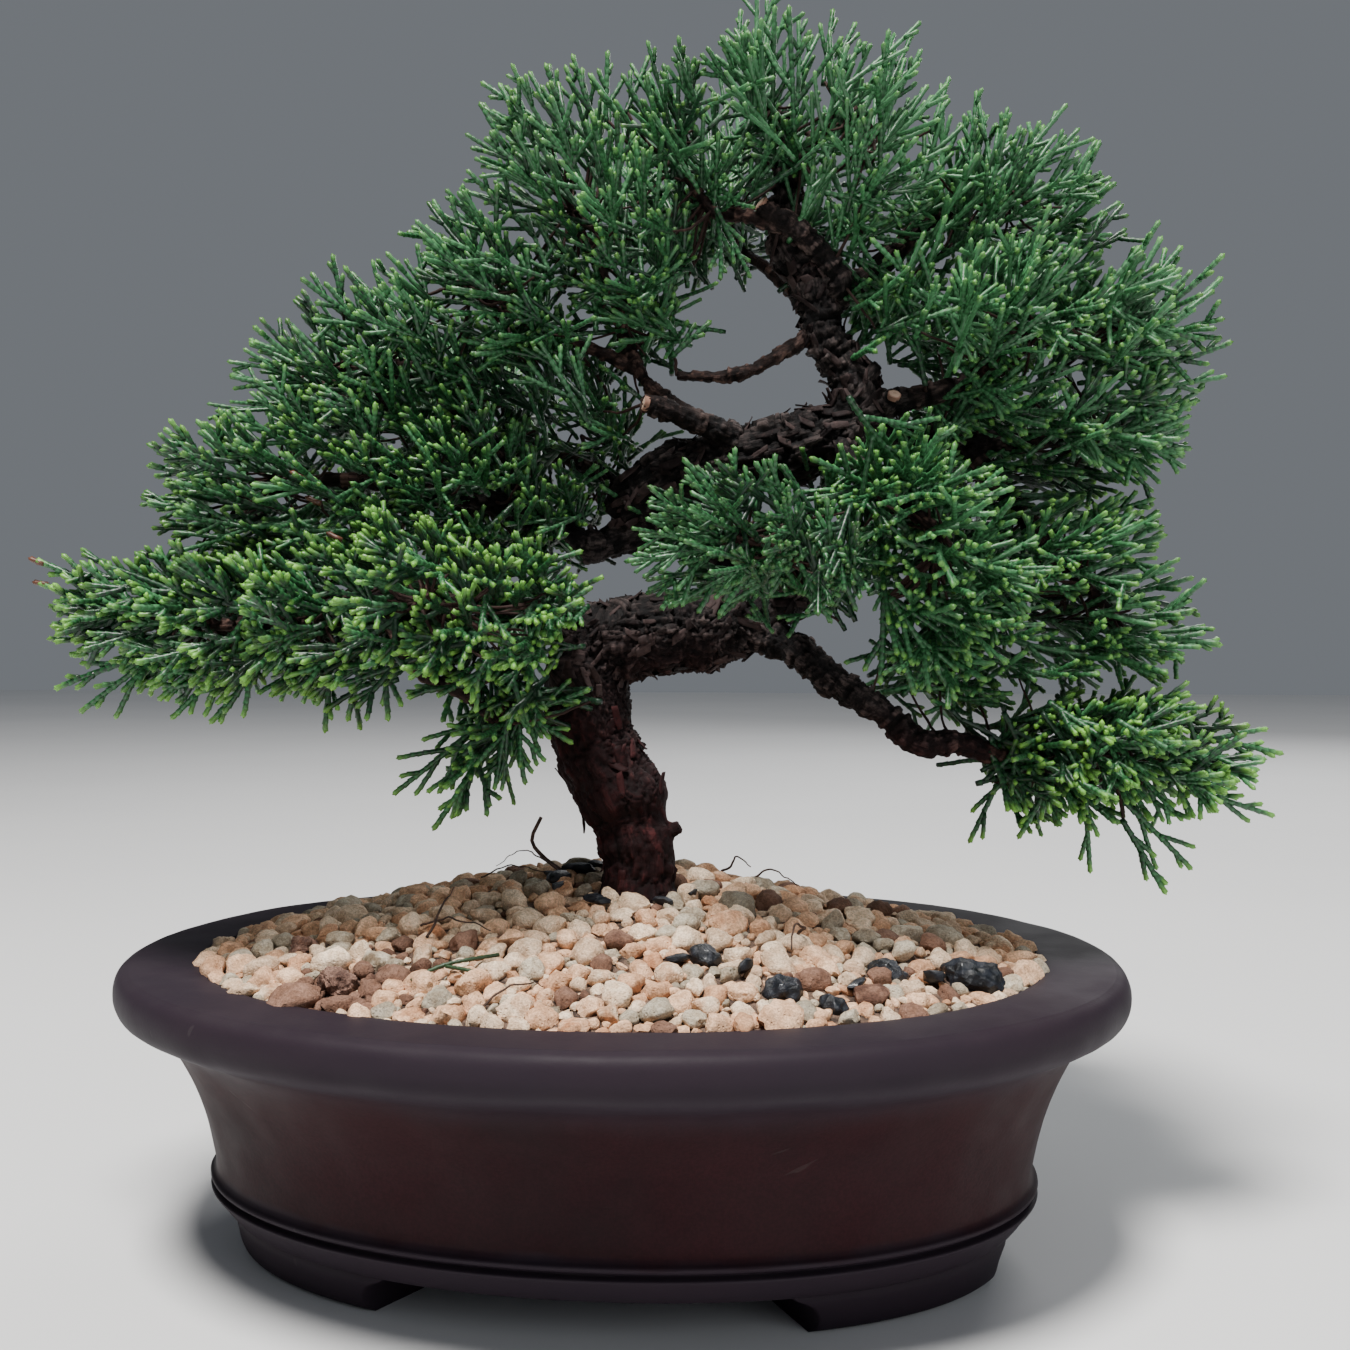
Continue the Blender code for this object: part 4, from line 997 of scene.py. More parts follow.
@dataclass
class LooseLumps:
    """Charcoal and lava lumps: CAD nodes whose faces are broken up."""

    def roughen(self, node: str, finish: bpy.types.Material, pattern: bpy.types.Texture, depth: float, rest: float) -> None:
        """Breaks up a lump's faces.

        Args:
            node: The CAD node.
            finish: Its finish.
            pattern: The pattern that its surface takes.
            depth: How far the surface moves.
            rest: The tone of the pattern that leaves the surface where it is.
        """
        made = refinish(node, finish)
        whole = made.modifiers.new("Whole", "WELD")
        whole.merge_threshold = 0.00002
        edge = made.modifiers.new("Edge", "BEVEL")
        edge.width = 0.00025
        edge.segments = 2
        finer = made.modifiers.new("Finer", "SUBSURF")
        finer.subdivision_type = "SIMPLE"
        finer.levels = finer.render_levels = 3
        broken = made.modifiers.new("Broken", "DISPLACE")
        broken.texture = pattern
        broken.strength = depth
        broken.mid_level = rest
        broken.texture_coords = "GLOBAL"

    def build(self, charcoal: bpy.types.Material, lava: bpy.types.Material) -> None:
        """Finishes every lump."""
        chips = bpy.data.textures.new("chips", "VORONOI")
        chips.noise_scale = 0.0022
        pores = bpy.data.textures.new("pores", "CLOUDS")
        pores.noise_scale = 0.0009
        for name in sorted(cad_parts):
            if name.startswith("charcoal"):
                self.roughen(name, charcoal, chips, 0.0014, 0.08)
            elif name.startswith("lava"):
                self.roughen(name, lava, pores, 0.0016, 0.35)


# ---------------------------------------------------------------- wood

# Rows of x, y, height and radius in millimetres, in the tree's own front view.
TRUNK: tuple[tuple[Row, ...], ...] = (
    ((5, -4, 44, 5.5), (4, -5, 52, 8.4), (4, -5, 60, 9.4), (4, -5, 68, 8.5), (4, -4, 80, 7.3), (1, -3, 90, 8.3),
     (-3, -1, 97, 8.8), (-6, 0, 105, 8.6), (-7, 0, 114, 8.8), (-6, 0, 122, 8.2), (-4, 0, 129, 5.6)),
    ((-11, 0, 120, 6.2), (-3, 0, 124, 8.4), (6, 0, 125.5, 8.2), (15, 2, 126, 7.6), (25, 5, 129, 7.2),
     (33, 8, 134, 6.7), (38, 10, 139, 4.6)),
    ((37, 9, 132, 5.0), (33, 12, 140, 6.5), (21, 14, 146, 6.2), (11, 12, 150, 6.3), (2, 11, 153, 5.0)),
    ((-1, 11, 151, 4.6), (5, 9, 155, 6.4), (12, 6, 159, 6.8), (25, 3, 162, 6.8), (38, 1, 165, 6.8),
     (46, 0, 168, 6.2), (52, -1, 171, 4.2)),
    ((46, 1, 164, 4.8), (49, 0, 172, 5.5), (48, 0, 179, 4.8), (43, 0, 186, 4.1), (41, 0, 194, 4.2),
     (39, 1, 201, 4.4), (35, 2, 208, 3.7), (35, 2, 216, 3.1), (34, 2, 224, 2.1), (34, 2, 234, 1.2)),
)
SPURS: dict[str, tuple[Row, ...]] = {
    "root_left": ((3, -5, 61, 4.2), (-8, -6, 57, 2.8), (-22, -9, 48, 1.4)),
    "root_right": ((5, -6, 62, 3.9), (15, -8, 57, 2.8), (30, -12, 46, 1.4)),
    "root_back": ((4, -3, 63, 4.0), (1, 10, 56, 2.8), (-3, 22, 44, 1.4)),
    "knob": ((8, -4, 84, 2.5), (12.5, -5, 86.5, 1.2)),
    "heel": ((-4, 0, 116, 5.0), (-12, -2, 119, 2.6)),
    "spur": ((46, 0, 172, 2.5), (53, -4, 181, 1.2)),
    "cut_spur": ((55, 0, 172.5, 2.6), (55.8, -3, 173.6, 2.1), (56.2, -5.4, 174.6, 1.7)),
}
BRANCHES: dict[str, tuple[Row, ...]] = {
    "left_low": ((-4, 0, 123, 4.6), (-15, -4, 130, 3.4), (-30, -12, 133, 2.8), (-46, -18, 133, 2.2),
                 (-72, -18, 128, 1.5), (-90, -12, 129, 0.9)),
    "left_front": ((-30, -12, 133, 2.2), (-34, -24, 131, 1.8), (-36, -36, 132, 1.2)),
    "hanging": ((-46, -18, 133, 1.6), (-40, -20, 120, 1.5), (-28, -19, 113, 1.3), (-23, -17, 106, 0.8)),
    "left_mid": ((8, 12, 149, 4.2), (-7, 8, 145, 3.2), (-17, 4, 150, 2.8), (-38, 2, 156, 2.2),
                 (-61, 2, 158, 1.5), (-80, 4, 154, 0.9)),
    "left_upper": ((-17, 4, 150, 2.2), (-30, 6, 169, 1.9), (-45, 6, 182, 1.5), (-64, 6, 182, 0.9)),
    "stub": ((31, 3, 163, 3.4), (20, -3, 168, 2.4), (8, -7, 172, 2.0), (5, -8, 172.6, 1.9)),
    "top_left": ((17, -4, 169, 1.9), (6, 2, 178, 1.5), (1, 4, 187, 1.4), (-2, 4, 198, 1.2), (-11, 4, 214, 0.9)),
    "slope": ((4, 3, 181, 1.5), (-9, 4, 187, 1.2), (-25, 0, 193, 0.9), (-33, 0, 199, 0.8)),
    "thin_left": ((42, 0, 189, 2.0), (31, -2, 182, 1.5), (22, -2, 179, 1.3), (12, -2, 179, 1.0)),
    "red_side": ((40, 0, 197, 3.0), (45, -3, 198, 2.6), (40, -5, 205, 2.3), (34, -6, 209, 2.2), (29, -6, 213, 2.1)),
    "apex_left": ((35, -5, 209, 1.8), (26, -4, 211, 1.5), (19, -2, 213, 1.2), (12, 2, 224, 0.8)),
    "apex_right": ((35, 2, 219, 1.9), (40, 0, 228, 1.5), (48, -2, 235, 0.9)),
    "right_top": ((42, 0, 193, 2.8), (55, 6, 204, 2.1), (66, 8, 214, 1.6), (80, 8, 219, 0.9)),
    "right_upper": ((49, 0, 171, 3.2), (57, -2, 174, 2.6), (70, -4, 177, 1.9), (84, -4, 188, 1.4), (104, 0, 190, 0.8)),
    "right_mid": ((48, 2, 168, 4.2), (59, 6, 168, 3.3), (72, 8, 167, 2.6), (86, 8, 167, 2.0), (103, 6, 169, 1.0)),
    "right_low": ((72, 8, 167, 2.4), (83, 8, 154, 2.0), (93, 6, 142, 1.6), (105, 4, 129, 0.9)),
    "lower_right": ((24, 5, 128, 4.6), (35, 0, 123, 3.5), (43, -4, 117, 3.3), (52, -7, 111, 3.0),
                    (60, -9, 104, 2.9), (68, -9, 104, 2.4), (76, -8, 101, 2.0), (86, -7, 99, 1.6),
                    (107, -4, 100, 0.9)),
    "front": ((33, 8, 135, 2.8), (36, -12, 138, 2.2), (30, -28, 142, 1.7), (22, -38, 144, 0.9)),
    "right_front": ((44, 0, 167, 2.8), (49, -14, 158, 2.2), (55, -24, 151, 1.6), (62, -30, 144, 0.9)),
    "back_left": ((6, 12, 154, 2.6), (-8, 30, 163, 2.0), (-30, 46, 175, 1.2)),
    "back_right": ((48, 3, 170, 2.8), (64, 24, 169, 2.2), (86, 44, 167, 1.2)),
    "back_top": ((41, 2, 193, 2.0), (32, 20, 206, 1.5), (17, 36, 220, 0.9)),
}
# Place, heading and radius of each sawn end.
SAWN_ENDS: tuple[tuple[Row, Row, float], ...] = (
    ((5.0, -8.0, 172.6), (-0.93, -0.30, 0.20), 1.55),
    ((28.7, -6.1, 213.25), (-0.75, -0.30, 0.60), 1.60),
    ((56.2, -5.5, 174.8), (0.15, -0.70, 0.70), 1.40),
)


@dataclass
class Timber:
    """Trunk and branches with bark that follows their grain."""

    planting: Planting
    rng: random.Random
    grid: float = 0.00046
    flakes: int = 560
    samples: dict[str, list[tuple[Vector, Vector, Vector, Vector, float, float]]] = field(default_factory=dict)

    def knots(self, rows: tuple[Row, ...]) -> list[Row]:
        """Layout rows as places and radii in metres."""
        return [(*self.planting.place(row), row[3] * MM) for row in rows]

    def limbs(self, name: str, groups: list[tuple[Row, ...]], sides: int) -> bpy.types.Object:
        """Sweeps limbs, joins them into one skin and keeps their centre lines.

        Args:
            name: The object's name.
            groups: The knots of each limb.
            sides: Points round each limb.

        Returns:
            The skin, before its bark.
        """
        store = MeshStore()
        self.samples[name] = []
        for rows in groups:
            path = curve_through(self.knots(rows), 12)
            radii = np.maximum(path[:, 3], 0.0003)
            centre = path[:, :3]
            headings, one, two = frames_along(centre)
            wobble = np.array([[noise.noise(Vector(p) * 150.0 + Vector((k * 7.0, 0, 0))) for k in range(3)] for p in centre])
            centre = centre + wobble * np.minimum(radii, 0.003)[:, None] * 0.35
            knotty = 0.30 if name == "branches" else 0.14
            swell = np.array([1 + knotty * noise.noise(Vector(p) * (420.0 if name == "branches" else 190.0)) for p in centre])
            radii = radii * swell
            angle = 2 * math.pi * np.arange(sides) / sides
            out = np.cos(angle)[None, :, None] * one[:, None] + np.sin(angle)[None, :, None] * two[:, None]
            rings = centre[:, None] + out * radii[:, None, None]
            store.tube(rings, centre[0] - headings[0] * radii[0] * 0.2, centre[-1] + headings[-1] * radii[-1] * 0.1,
                       np.zeros((len(centre), 4)))
            walked = np.concatenate([[0], np.cumsum(np.linalg.norm(np.diff(centre, axis=0), axis=1))])
            walked = walked + self.rng.uniform(0, 1)
            for k in range(len(centre)):
                self.samples[name].append((Vector(centre[k]), Vector(headings[k]), Vector(one[k]), Vector(two[k]),
                                           float(walked[k]), float(radii[k])))
        made = store.make(name)
        skin = made.modifiers.new("Skin", "REMESH")
        skin.mode = "VOXEL"
        skin.voxel_size = self.grid * (1.06 if name == "branches" else 1.0)
        freeze(made)
        return made

    def bark(self, made: bpy.types.Object, red_to: tuple[float, float], depth: float) -> None:
        """Raises bark plates and furrows along the grain and notes their colour.

        Args:
            made: The skin.
            red_to: Heights between which red bark turns grey.
            depth: Depth of a furrow on the thickest wood.
        """
        samples = self.samples[made.name]
        tree = KDTree(len(samples))
        for i, sample in enumerate(samples):
            tree.insert(sample[0], i)
        tree.balance()
        mesh = made.data
        count = len(mesh.vertices)
        growth, grain = np.zeros((count, 4), np.float32), np.zeros((count, 3), np.float32)
        moved = np.zeros((count, 3))
        for v in mesh.vertices:
            centre, _, one, two, walked, radius = samples[tree.find(v.co)[1]]
            away = v.co - centre
            angle = math.atan2(away.dot(two), away.dot(one))
            across = max(radius, 0.0012) * 1000
            at = Vector((math.cos(angle) * across, math.sin(angle) * across, walked * 1000))
            young = min(max((0.0026 - radius) / 0.0012, 0), 1) if made.name == "branches" else 0.0
            collar = noise.noise(Vector((at.x * 0.16, at.y * 0.16, at.z * 0.95))) if radius < 0.0045 else 0.0
            turn = (v.co.z - red_to[0]) / (red_to[1] - red_to[0]) + 0.5 * noise.noise(v.co * 90.0)
            red = 1 - min(max(turn, 0), 1)
            wide = 2.3 if radius > 0.004 else 1.15
            long = wide * (1.3 + 1.9 * red if radius > 0.004 else 0.75)
            bent = at + noise.noise_vector(at * 0.25) * wide * 0.7
            gaps, seeds = noise.voronoi(Vector((bent.x / wide, bent.y / wide, bent.z / long)))
            furrow = min((gaps[1] - gaps[0]) / 0.34, 1.0)
            plate = noise.noise(seeds[0] * 5.7 + Vector((3.1, 0.7, 9.2)))
            ridge = 1 - 2 * abs(noise.noise(Vector((at.x * 0.42, at.y * 0.42, at.z * 0.15)) + Vector((9.0, 0, 4.0))))
            lump = noise.noise(at * 0.62)
            fine = noise.noise(Vector((at.x * 1.3, at.y * 1.3, at.z * 0.6)))
            height = 0.46 + 0.34 * plate + 0.30 * (math.sqrt(furrow) - 0.75) + 0.16 * ridge + 0.26 * lump + 0.14 * fine + 0.5 * collar
            rise = depth * min(radius / 0.007, 1) ** 0.8 * (1 - 0.45 * red)
            moved[v.index] = v.co + v.normal * (height - 0.5) * rise
            # The relief in the first value also sets the finish's painted shade in the furrows and painted highlight on
            # the ridges.
            growth[v.index] = (min(max(height, 0), 1), red, young, 1)
            grain[v.index] = (at.x, at.y, at.z * 0.22)
        mesh.vertices.foreach_set("co", moved.astype(np.float32).reshape(-1))
        mesh.attributes.new("growth", "FLOAT_COLOR", "POINT").data.foreach_set("color", growth.reshape(-1))
        mesh.attributes.new("grain", "FLOAT_VECTOR", "POINT").data.foreach_set("vector", grain.reshape(-1))
        mesh.update()
        mesh.shade_smooth()

    def flake(self, store: MeshStore, sample: tuple[Vector, Vector, Vector, Vector, float, float], red: float) -> None:
        """Adds a thin curled plate of bark that lifts from the wood at one end."""
        centre, heading, one, two, _, radius = sample
        long, wide = self.rng.uniform(2.0, 5.8) * MM, self.rng.uniform(0.9, 2.3) * MM
        facing, skew = self.rng.uniform(0, math.tau), self.rng.gauss(0, 0.5)
        lift, way = self.rng.uniform(0.5, 1.7) * MM, self.rng.choice((-1, 1))
        rows, columns = 6, 4
        layers = []
        for side in (1, -1):
            for i in range(rows):
                for j in range(columns):
                    s, t = i / (rows - 1), j / (columns - 1) - 0.5
                    narrow = 0.7 + 0.3 * math.sin(math.pi * s) + 0.25 * noise.noise(Vector((s * 2.5, facing * 7, 0)))
                    along = (s - 0.5) * long * way
                    around = facing + (t * wide * narrow + along * skew) / radius
                    rise = radius + lift * s**1.8 + side * 0.00011 + 0.0002 * noise.noise(Vector((s * 3, t * 3, facing * 9)))
                    out = one * math.cos(around) + two * math.sin(around)
                    layers.append(centre + heading * along + out * rise)
        size = rows * columns
        quads = []
        for i in range(rows - 1):
            for j in range(columns - 1):
                a = i * columns + j
                face = (a, a + 1, a + columns + 1, a + columns)
                quads.append(face)
                quads.append(tuple(size + k for k in reversed(face)))
        rim = [j for j in range(columns)] + [i * columns + columns - 1 for i in range(1, rows)]
        rim += [(rows - 1) * columns + j for j in range(columns - 2, -1, -1)] + [i * columns for i in range(rows - 2, 0, -1)]
        for k, a in enumerate(rim):
            b = rim[(k + 1) % len(rim)]
            quads.append((b, a, size + a, size + b))
        tone = self.rng.uniform(0.45, 0.95)
        store.add(np.array([tuple(p) for p in layers]), np.array(quads), np.zeros((0, 3), int),
                  np.tile((tone, red, 0.0, 1.0), (len(layers), 1)))

    def build_flakes(self, finish: bpy.types.Material) -> bpy.types.Object:
        """Scatters loose bark over the trunk, most of it above the red bark."""
        store = MeshStore()
        samples = [s for s in self.samples["trunk"] if s[5] > 0.0034 and s[0].z > 0.072]
        while len(store.points) < self.flakes:
            sample = self.rng.choice(samples)
            red = 1.0 if sample[0].z < 0.112 else 0.25
            if red == 1.0 and self.rng.random() < 0.6:
                continue
            self.flake(store, sample, red)
        made = store.make("bark_flakes")
        dress(made, finish, "bark")
        return made

    def build_sawn_ends(self, finish: bpy.types.Material) -> bpy.types.Object:
        """Makes the pale sawn ends as slightly domed discs."""
        store = MeshStore()
        for row, heading, radius in SAWN_ENDS:
            out = self.planting.heading(*heading).normalized()
            middle = self.planting.place(row)
            shares = (0.98, 1.0, 0.8, 0.55, 0.3)
            steps = (-1.0, 0.02, 0.12, 0.16, 0.18)
            path = np.array([middle + out * step * MM for step in steps])
            _, one, two = frames_along(np.array([middle, middle + out]))
            angle = 2 * math.pi * np.arange(28) / 28
            wobble = np.array([1 + 0.08 * noise.noise(Vector((math.cos(a), math.sin(a), radius)) * 1.4) for a in angle])
            ring = np.cos(angle)[:, None] * one[0] + np.sin(angle)[:, None] * two[0]
            rings = path[:, None] + ring[None] * (np.array(shares)[:, None] * wobble[None])[..., None] * radius * MM
            values = np.array([(share, 0, 0, 1) for share in shares])
            store.tube(rings, path[0], path[-1] + np.array(out) * 0.00002, values)
        made = store.make("sawn_ends")
        made.data.set_sharp_from_angle(angle=math.radians(45))
        dress(made, finish, "bark")
        return made

    def build(self, finish: bpy.types.Material, cut: bpy.types.Material) -> None:
        """Makes trunk, branches, loose bark and sawn ends."""
        trunk = self.limbs("trunk", [*TRUNK, *SPURS.values()], 48)
        self.bark(trunk, (0.098, 0.128), 0.0034)
        dress(trunk, finish, "bark", "wood")
        branches = self.limbs("branches", list(BRANCHES.values()), 24)
        self.bark(branches, (0.10, 0.11), 0.0030)
        dress(branches, finish, "bark", "wood")
        self.build_flakes(finish)
        self.build_sawn_ends(cut)


# ---------------------------------------------------------------- foliage


@dataclass(frozen=True)
class Habit:
    """How one pad's sprays grow: lengths in millimetres, shares from 0 to 1."""

    spacing: float
    length: float
    thick: float
    fresh: float
    flow: Row
    forks: float = 0.6
    blue: float = 0.0


HABITS: dict[str, Habit] = {
    "foliage_left_low": Habit(5.4, 17, 1.28, 0.72, (-1.0, -0.25, 0.05), 0.9, 0.45),
    "foliage_left_front": Habit(5.4, 15, 1.28, 0.78, (-0.5, -0.7, 0.1), 1.0, 0.4),
    "foliage_hanging": Habit(6.5, 16, 1.20, 0.6, (-0.5, -0.2, -0.8), 0.8, 0.0),
    "foliage_left_mid": Habit(5.5, 17, 1.22, 0.6, (-1.0, -0.1, 0.25), 0.8, 0.2),
    "foliage_centre_left": Habit(5.8, 17, 1.15, 0.5, (-0.4, -0.6, 0.3), 0.8, 0.2),
    "foliage_left_upper": Habit(5.6, 20, 1.15, 0.42, (-0.8, -0.1, 0.55), 0.6),
    "foliage_slope": Habit(5.6, 19, 1.12, 0.3, (-0.7, -0.1, 0.6), 0.6),
    "foliage_inner_left": Habit(6.4, 17, 1.05, 0.3, (-0.3, -0.5, 0.3), 0.6),
    "foliage_top_left": Habit(6.1, 21, 1.15, 0.42, (-0.5, -0.2, 0.75), 0.6, -0.5),
    "foliage_apex_left": Habit(6.2, 20, 1.10, 0.3, (-0.3, -0.2, 0.9), 0.6, -0.5),
    "foliage_apex": Habit(6.3, 21, 1.12, 0.3, (0.1, -0.1, 1.0), 0.6, -0.8),
    "foliage_apex_right": Habit(6.5, 21, 1.12, 0.3, (0.5, -0.1, 0.8), 0.6, -0.8),
    "foliage_right_top": Habit(6.5, 22, 1.18, 0.3, (0.6, -0.1, 0.65), 0.6, -0.8),
    "foliage_right_upper": Habit(6.5, 22, 1.22, 0.4, (0.8, -0.2, 0.4), 0.7, -0.8),
    "foliage_right_mid": Habit(6.4, 22, 1.22, 0.4, (1.0, -0.2, 0.1), 0.7, -0.5),
    "foliage_right_front": Habit(6.3, 21, 1.25, 0.5, (0.2, -0.8, -0.05), 0.6, -0.5),
    "foliage_right_low": Habit(5.9, 20, 1.22, 0.55, (0.8, -0.3, 0.1), 0.7, -0.5),
    "foliage_right_lowest": Habit(5.6, 18, 1.25, 0.85, (0.8, -0.4, -0.25), 0.9),
    "foliage_front": Habit(5.8, 18, 1.08, 0.15, (-0.8, -0.5, 0.1), 0.8, 0.3),
    "foliage_back_left": Habit(6.4, 20, 1.20, 0.6, (-0.5, 0.8, 0.3), 0.7),
    "foliage_back_right": Habit(6.4, 20, 1.20, 0.6, (0.5, 0.8, 0.1), 0.7),
    "foliage_back_top": Habit(6.4, 20, 1.15, 0.5, (0.0, 0.7, 0.6), 0.7),
}


# Lone sprays that stand clear of their pads: the pad, then where each starts and ends.
LONE_SPRAYS: tuple[tuple[str, Row, Row], ...] = (
    ("left_low", (-98, -12, 132.5), (-115.5, -14, 140.5)), ("left_low", (-98, -14, 130.5), (-115.5, -13, 136.0)),
    ("left_low", (-93, -15, 120.7), (-106.7, -15, 110.4)), ("left_low", (-75, -15, 122.7), (-87.9, -17, 109.2)),
    ("left_low", (-70, -15, 120.7), (-79.9, -18, 108.4)), ("left_low", (-95, -15, 121), (-112.0, -14, 115)),
    ("left_low", (-56, -18, 119), (-57.0, -20, 106.8)), ("left_low", (-45, -20, 120), (-44.2, -22, 109.2)),
    ("left_upper", (-57.8, 2, 193), (-59.5, 0, 204.3)), ("slope", (-40, 0, 195), (-42, 0, 206.5)),
    ("slope", (-36, 2, 196), (-38.5, 2, 209)), ("top_left", (-4.2, 0, 223.7), (-28.2, -2, 238.9)),
    ("top_left", (-10, 0, 224.5), (-27.6, -4, 233.0)), ("top_left", (-2.8, 2, 232), (-2.4, 0, 246.0)),
    ("top_left", (-5, 0, 231), (-9.6, -2, 244.5)), ("top_left", (1, 0, 233), (6.0, 0, 245)),
    ("apex", (23.9, 0, 240), (25, 0, 254.5)), ("apex", (28, 0, 241), (31.5, 0, 253.5)),
    ("apex", (42, 0, 239), (44, 0, 254.5)), ("apex_right", (43, -2, 238), (48.5, -2, 251)),
    ("apex_right", (54, -2, 235), (60, -2, 248.7)), ("apex_right", (64, -2, 228.5), (67.7, -2, 240)),
    ("right_top", (86.4, 6, 219.5), (88.5, 4, 232.2)), ("right_top", (91.7, 6, 216.4), (99.6, 4, 229)),
    ("right_top", (90, 5, 213), (101, 4, 221.6)), ("right_upper", (108, 0, 195.6), (116.3, 0, 206)),
    ("right_upper", (107, -2, 191), (118.8, -2, 198)), ("right_mid", (108, 0, 180), (126.1, -2, 186)),
    ("right_mid", (106, 0, 176), (125, -2, 179)), ("right_mid", (104, 0, 170), (118.8, -2, 173.6)),
    ("right_low", (98, 2, 150), (111, 0, 154)), ("right_lowest", (117, -6, 105), (135, -8, 101.5)),
    ("right_lowest", (116, -8, 94.5), (133, -9, 89.0)), ("right_lowest", (103, -6, 92), (116.7, -8, 78)),
    ("right_lowest", (103, -6, 88), (111.5, -8, 73)), ("right_lowest", (95, -8, 92), (95.8, -9, 77.5)),
    ("right_lowest", (88, -8, 96), (81.2, -9, 84.5)), ("right_lowest", (78, -7, 97), (71.4, -8, 83.5)),
    ("hanging", (-22, -16, 112), (-43.8, -19, 94.5)), ("hanging", (-25, -17, 106), (-36, -19, 87.5)),
    ("hanging", (-20, -17, 111), (-18, -19, 96.5)), ("hanging", (-18, -17, 110.5), (-5.3, -20, 115)),
    ("hanging", (-18, -17, 110), (-8.7, -20, 104.5)), ("front", (22.3, -34, 149), (22.5, -36, 160)),
    ("apex_left", (19.7, -7, 212), (26.6, -9, 197.6)), ("apex_left", (20, -6, 211), (20.6, -8, 197.4)),
    ("top_left", (10.5, -1, 183), (18.7, -3, 190)), ("right_upper", (77, -10, 178.5), (50.2, -14, 204)),
    ("right_upper", (62, -8, 176), (57, -12, 196)), ("right_front", (51, -28, 133), (50, -31, 116.5)),
    ("right_front", (52, -28, 133), (64.2, -31, 113.5)), ("right_front", (52, -28, 133), (70, -31, 120)),
    ("right_front", (53, -28, 134), (78, -30, 129)), ("right_front", (51, -28, 133), (56.5, -31, 114.5)),
    ("right_front", (58, -26, 142), (48.2, -28, 158)), ("right_front", (59, -26, 142), (55, -28, 160)),
    ("right_front", (60, -26, 142), (64.4, -28, 162)), ("front", (30, -36, 141), (11, -42, 131)),
    ("front", (26, -36, 143), (3, -42, 139)), ("front", (34, -34, 140), (40, -38, 128)),
)


# Where the dead brown ends sit.
DEAD_TIPS: tuple[Row, ...] = (
    (-114.0, -14, 139.8), (-113.6, -13, 135.8), (-60.5, -20, 156.0), (-57.0, -22, 151.0), (-53.0, -22, 144.0),
)


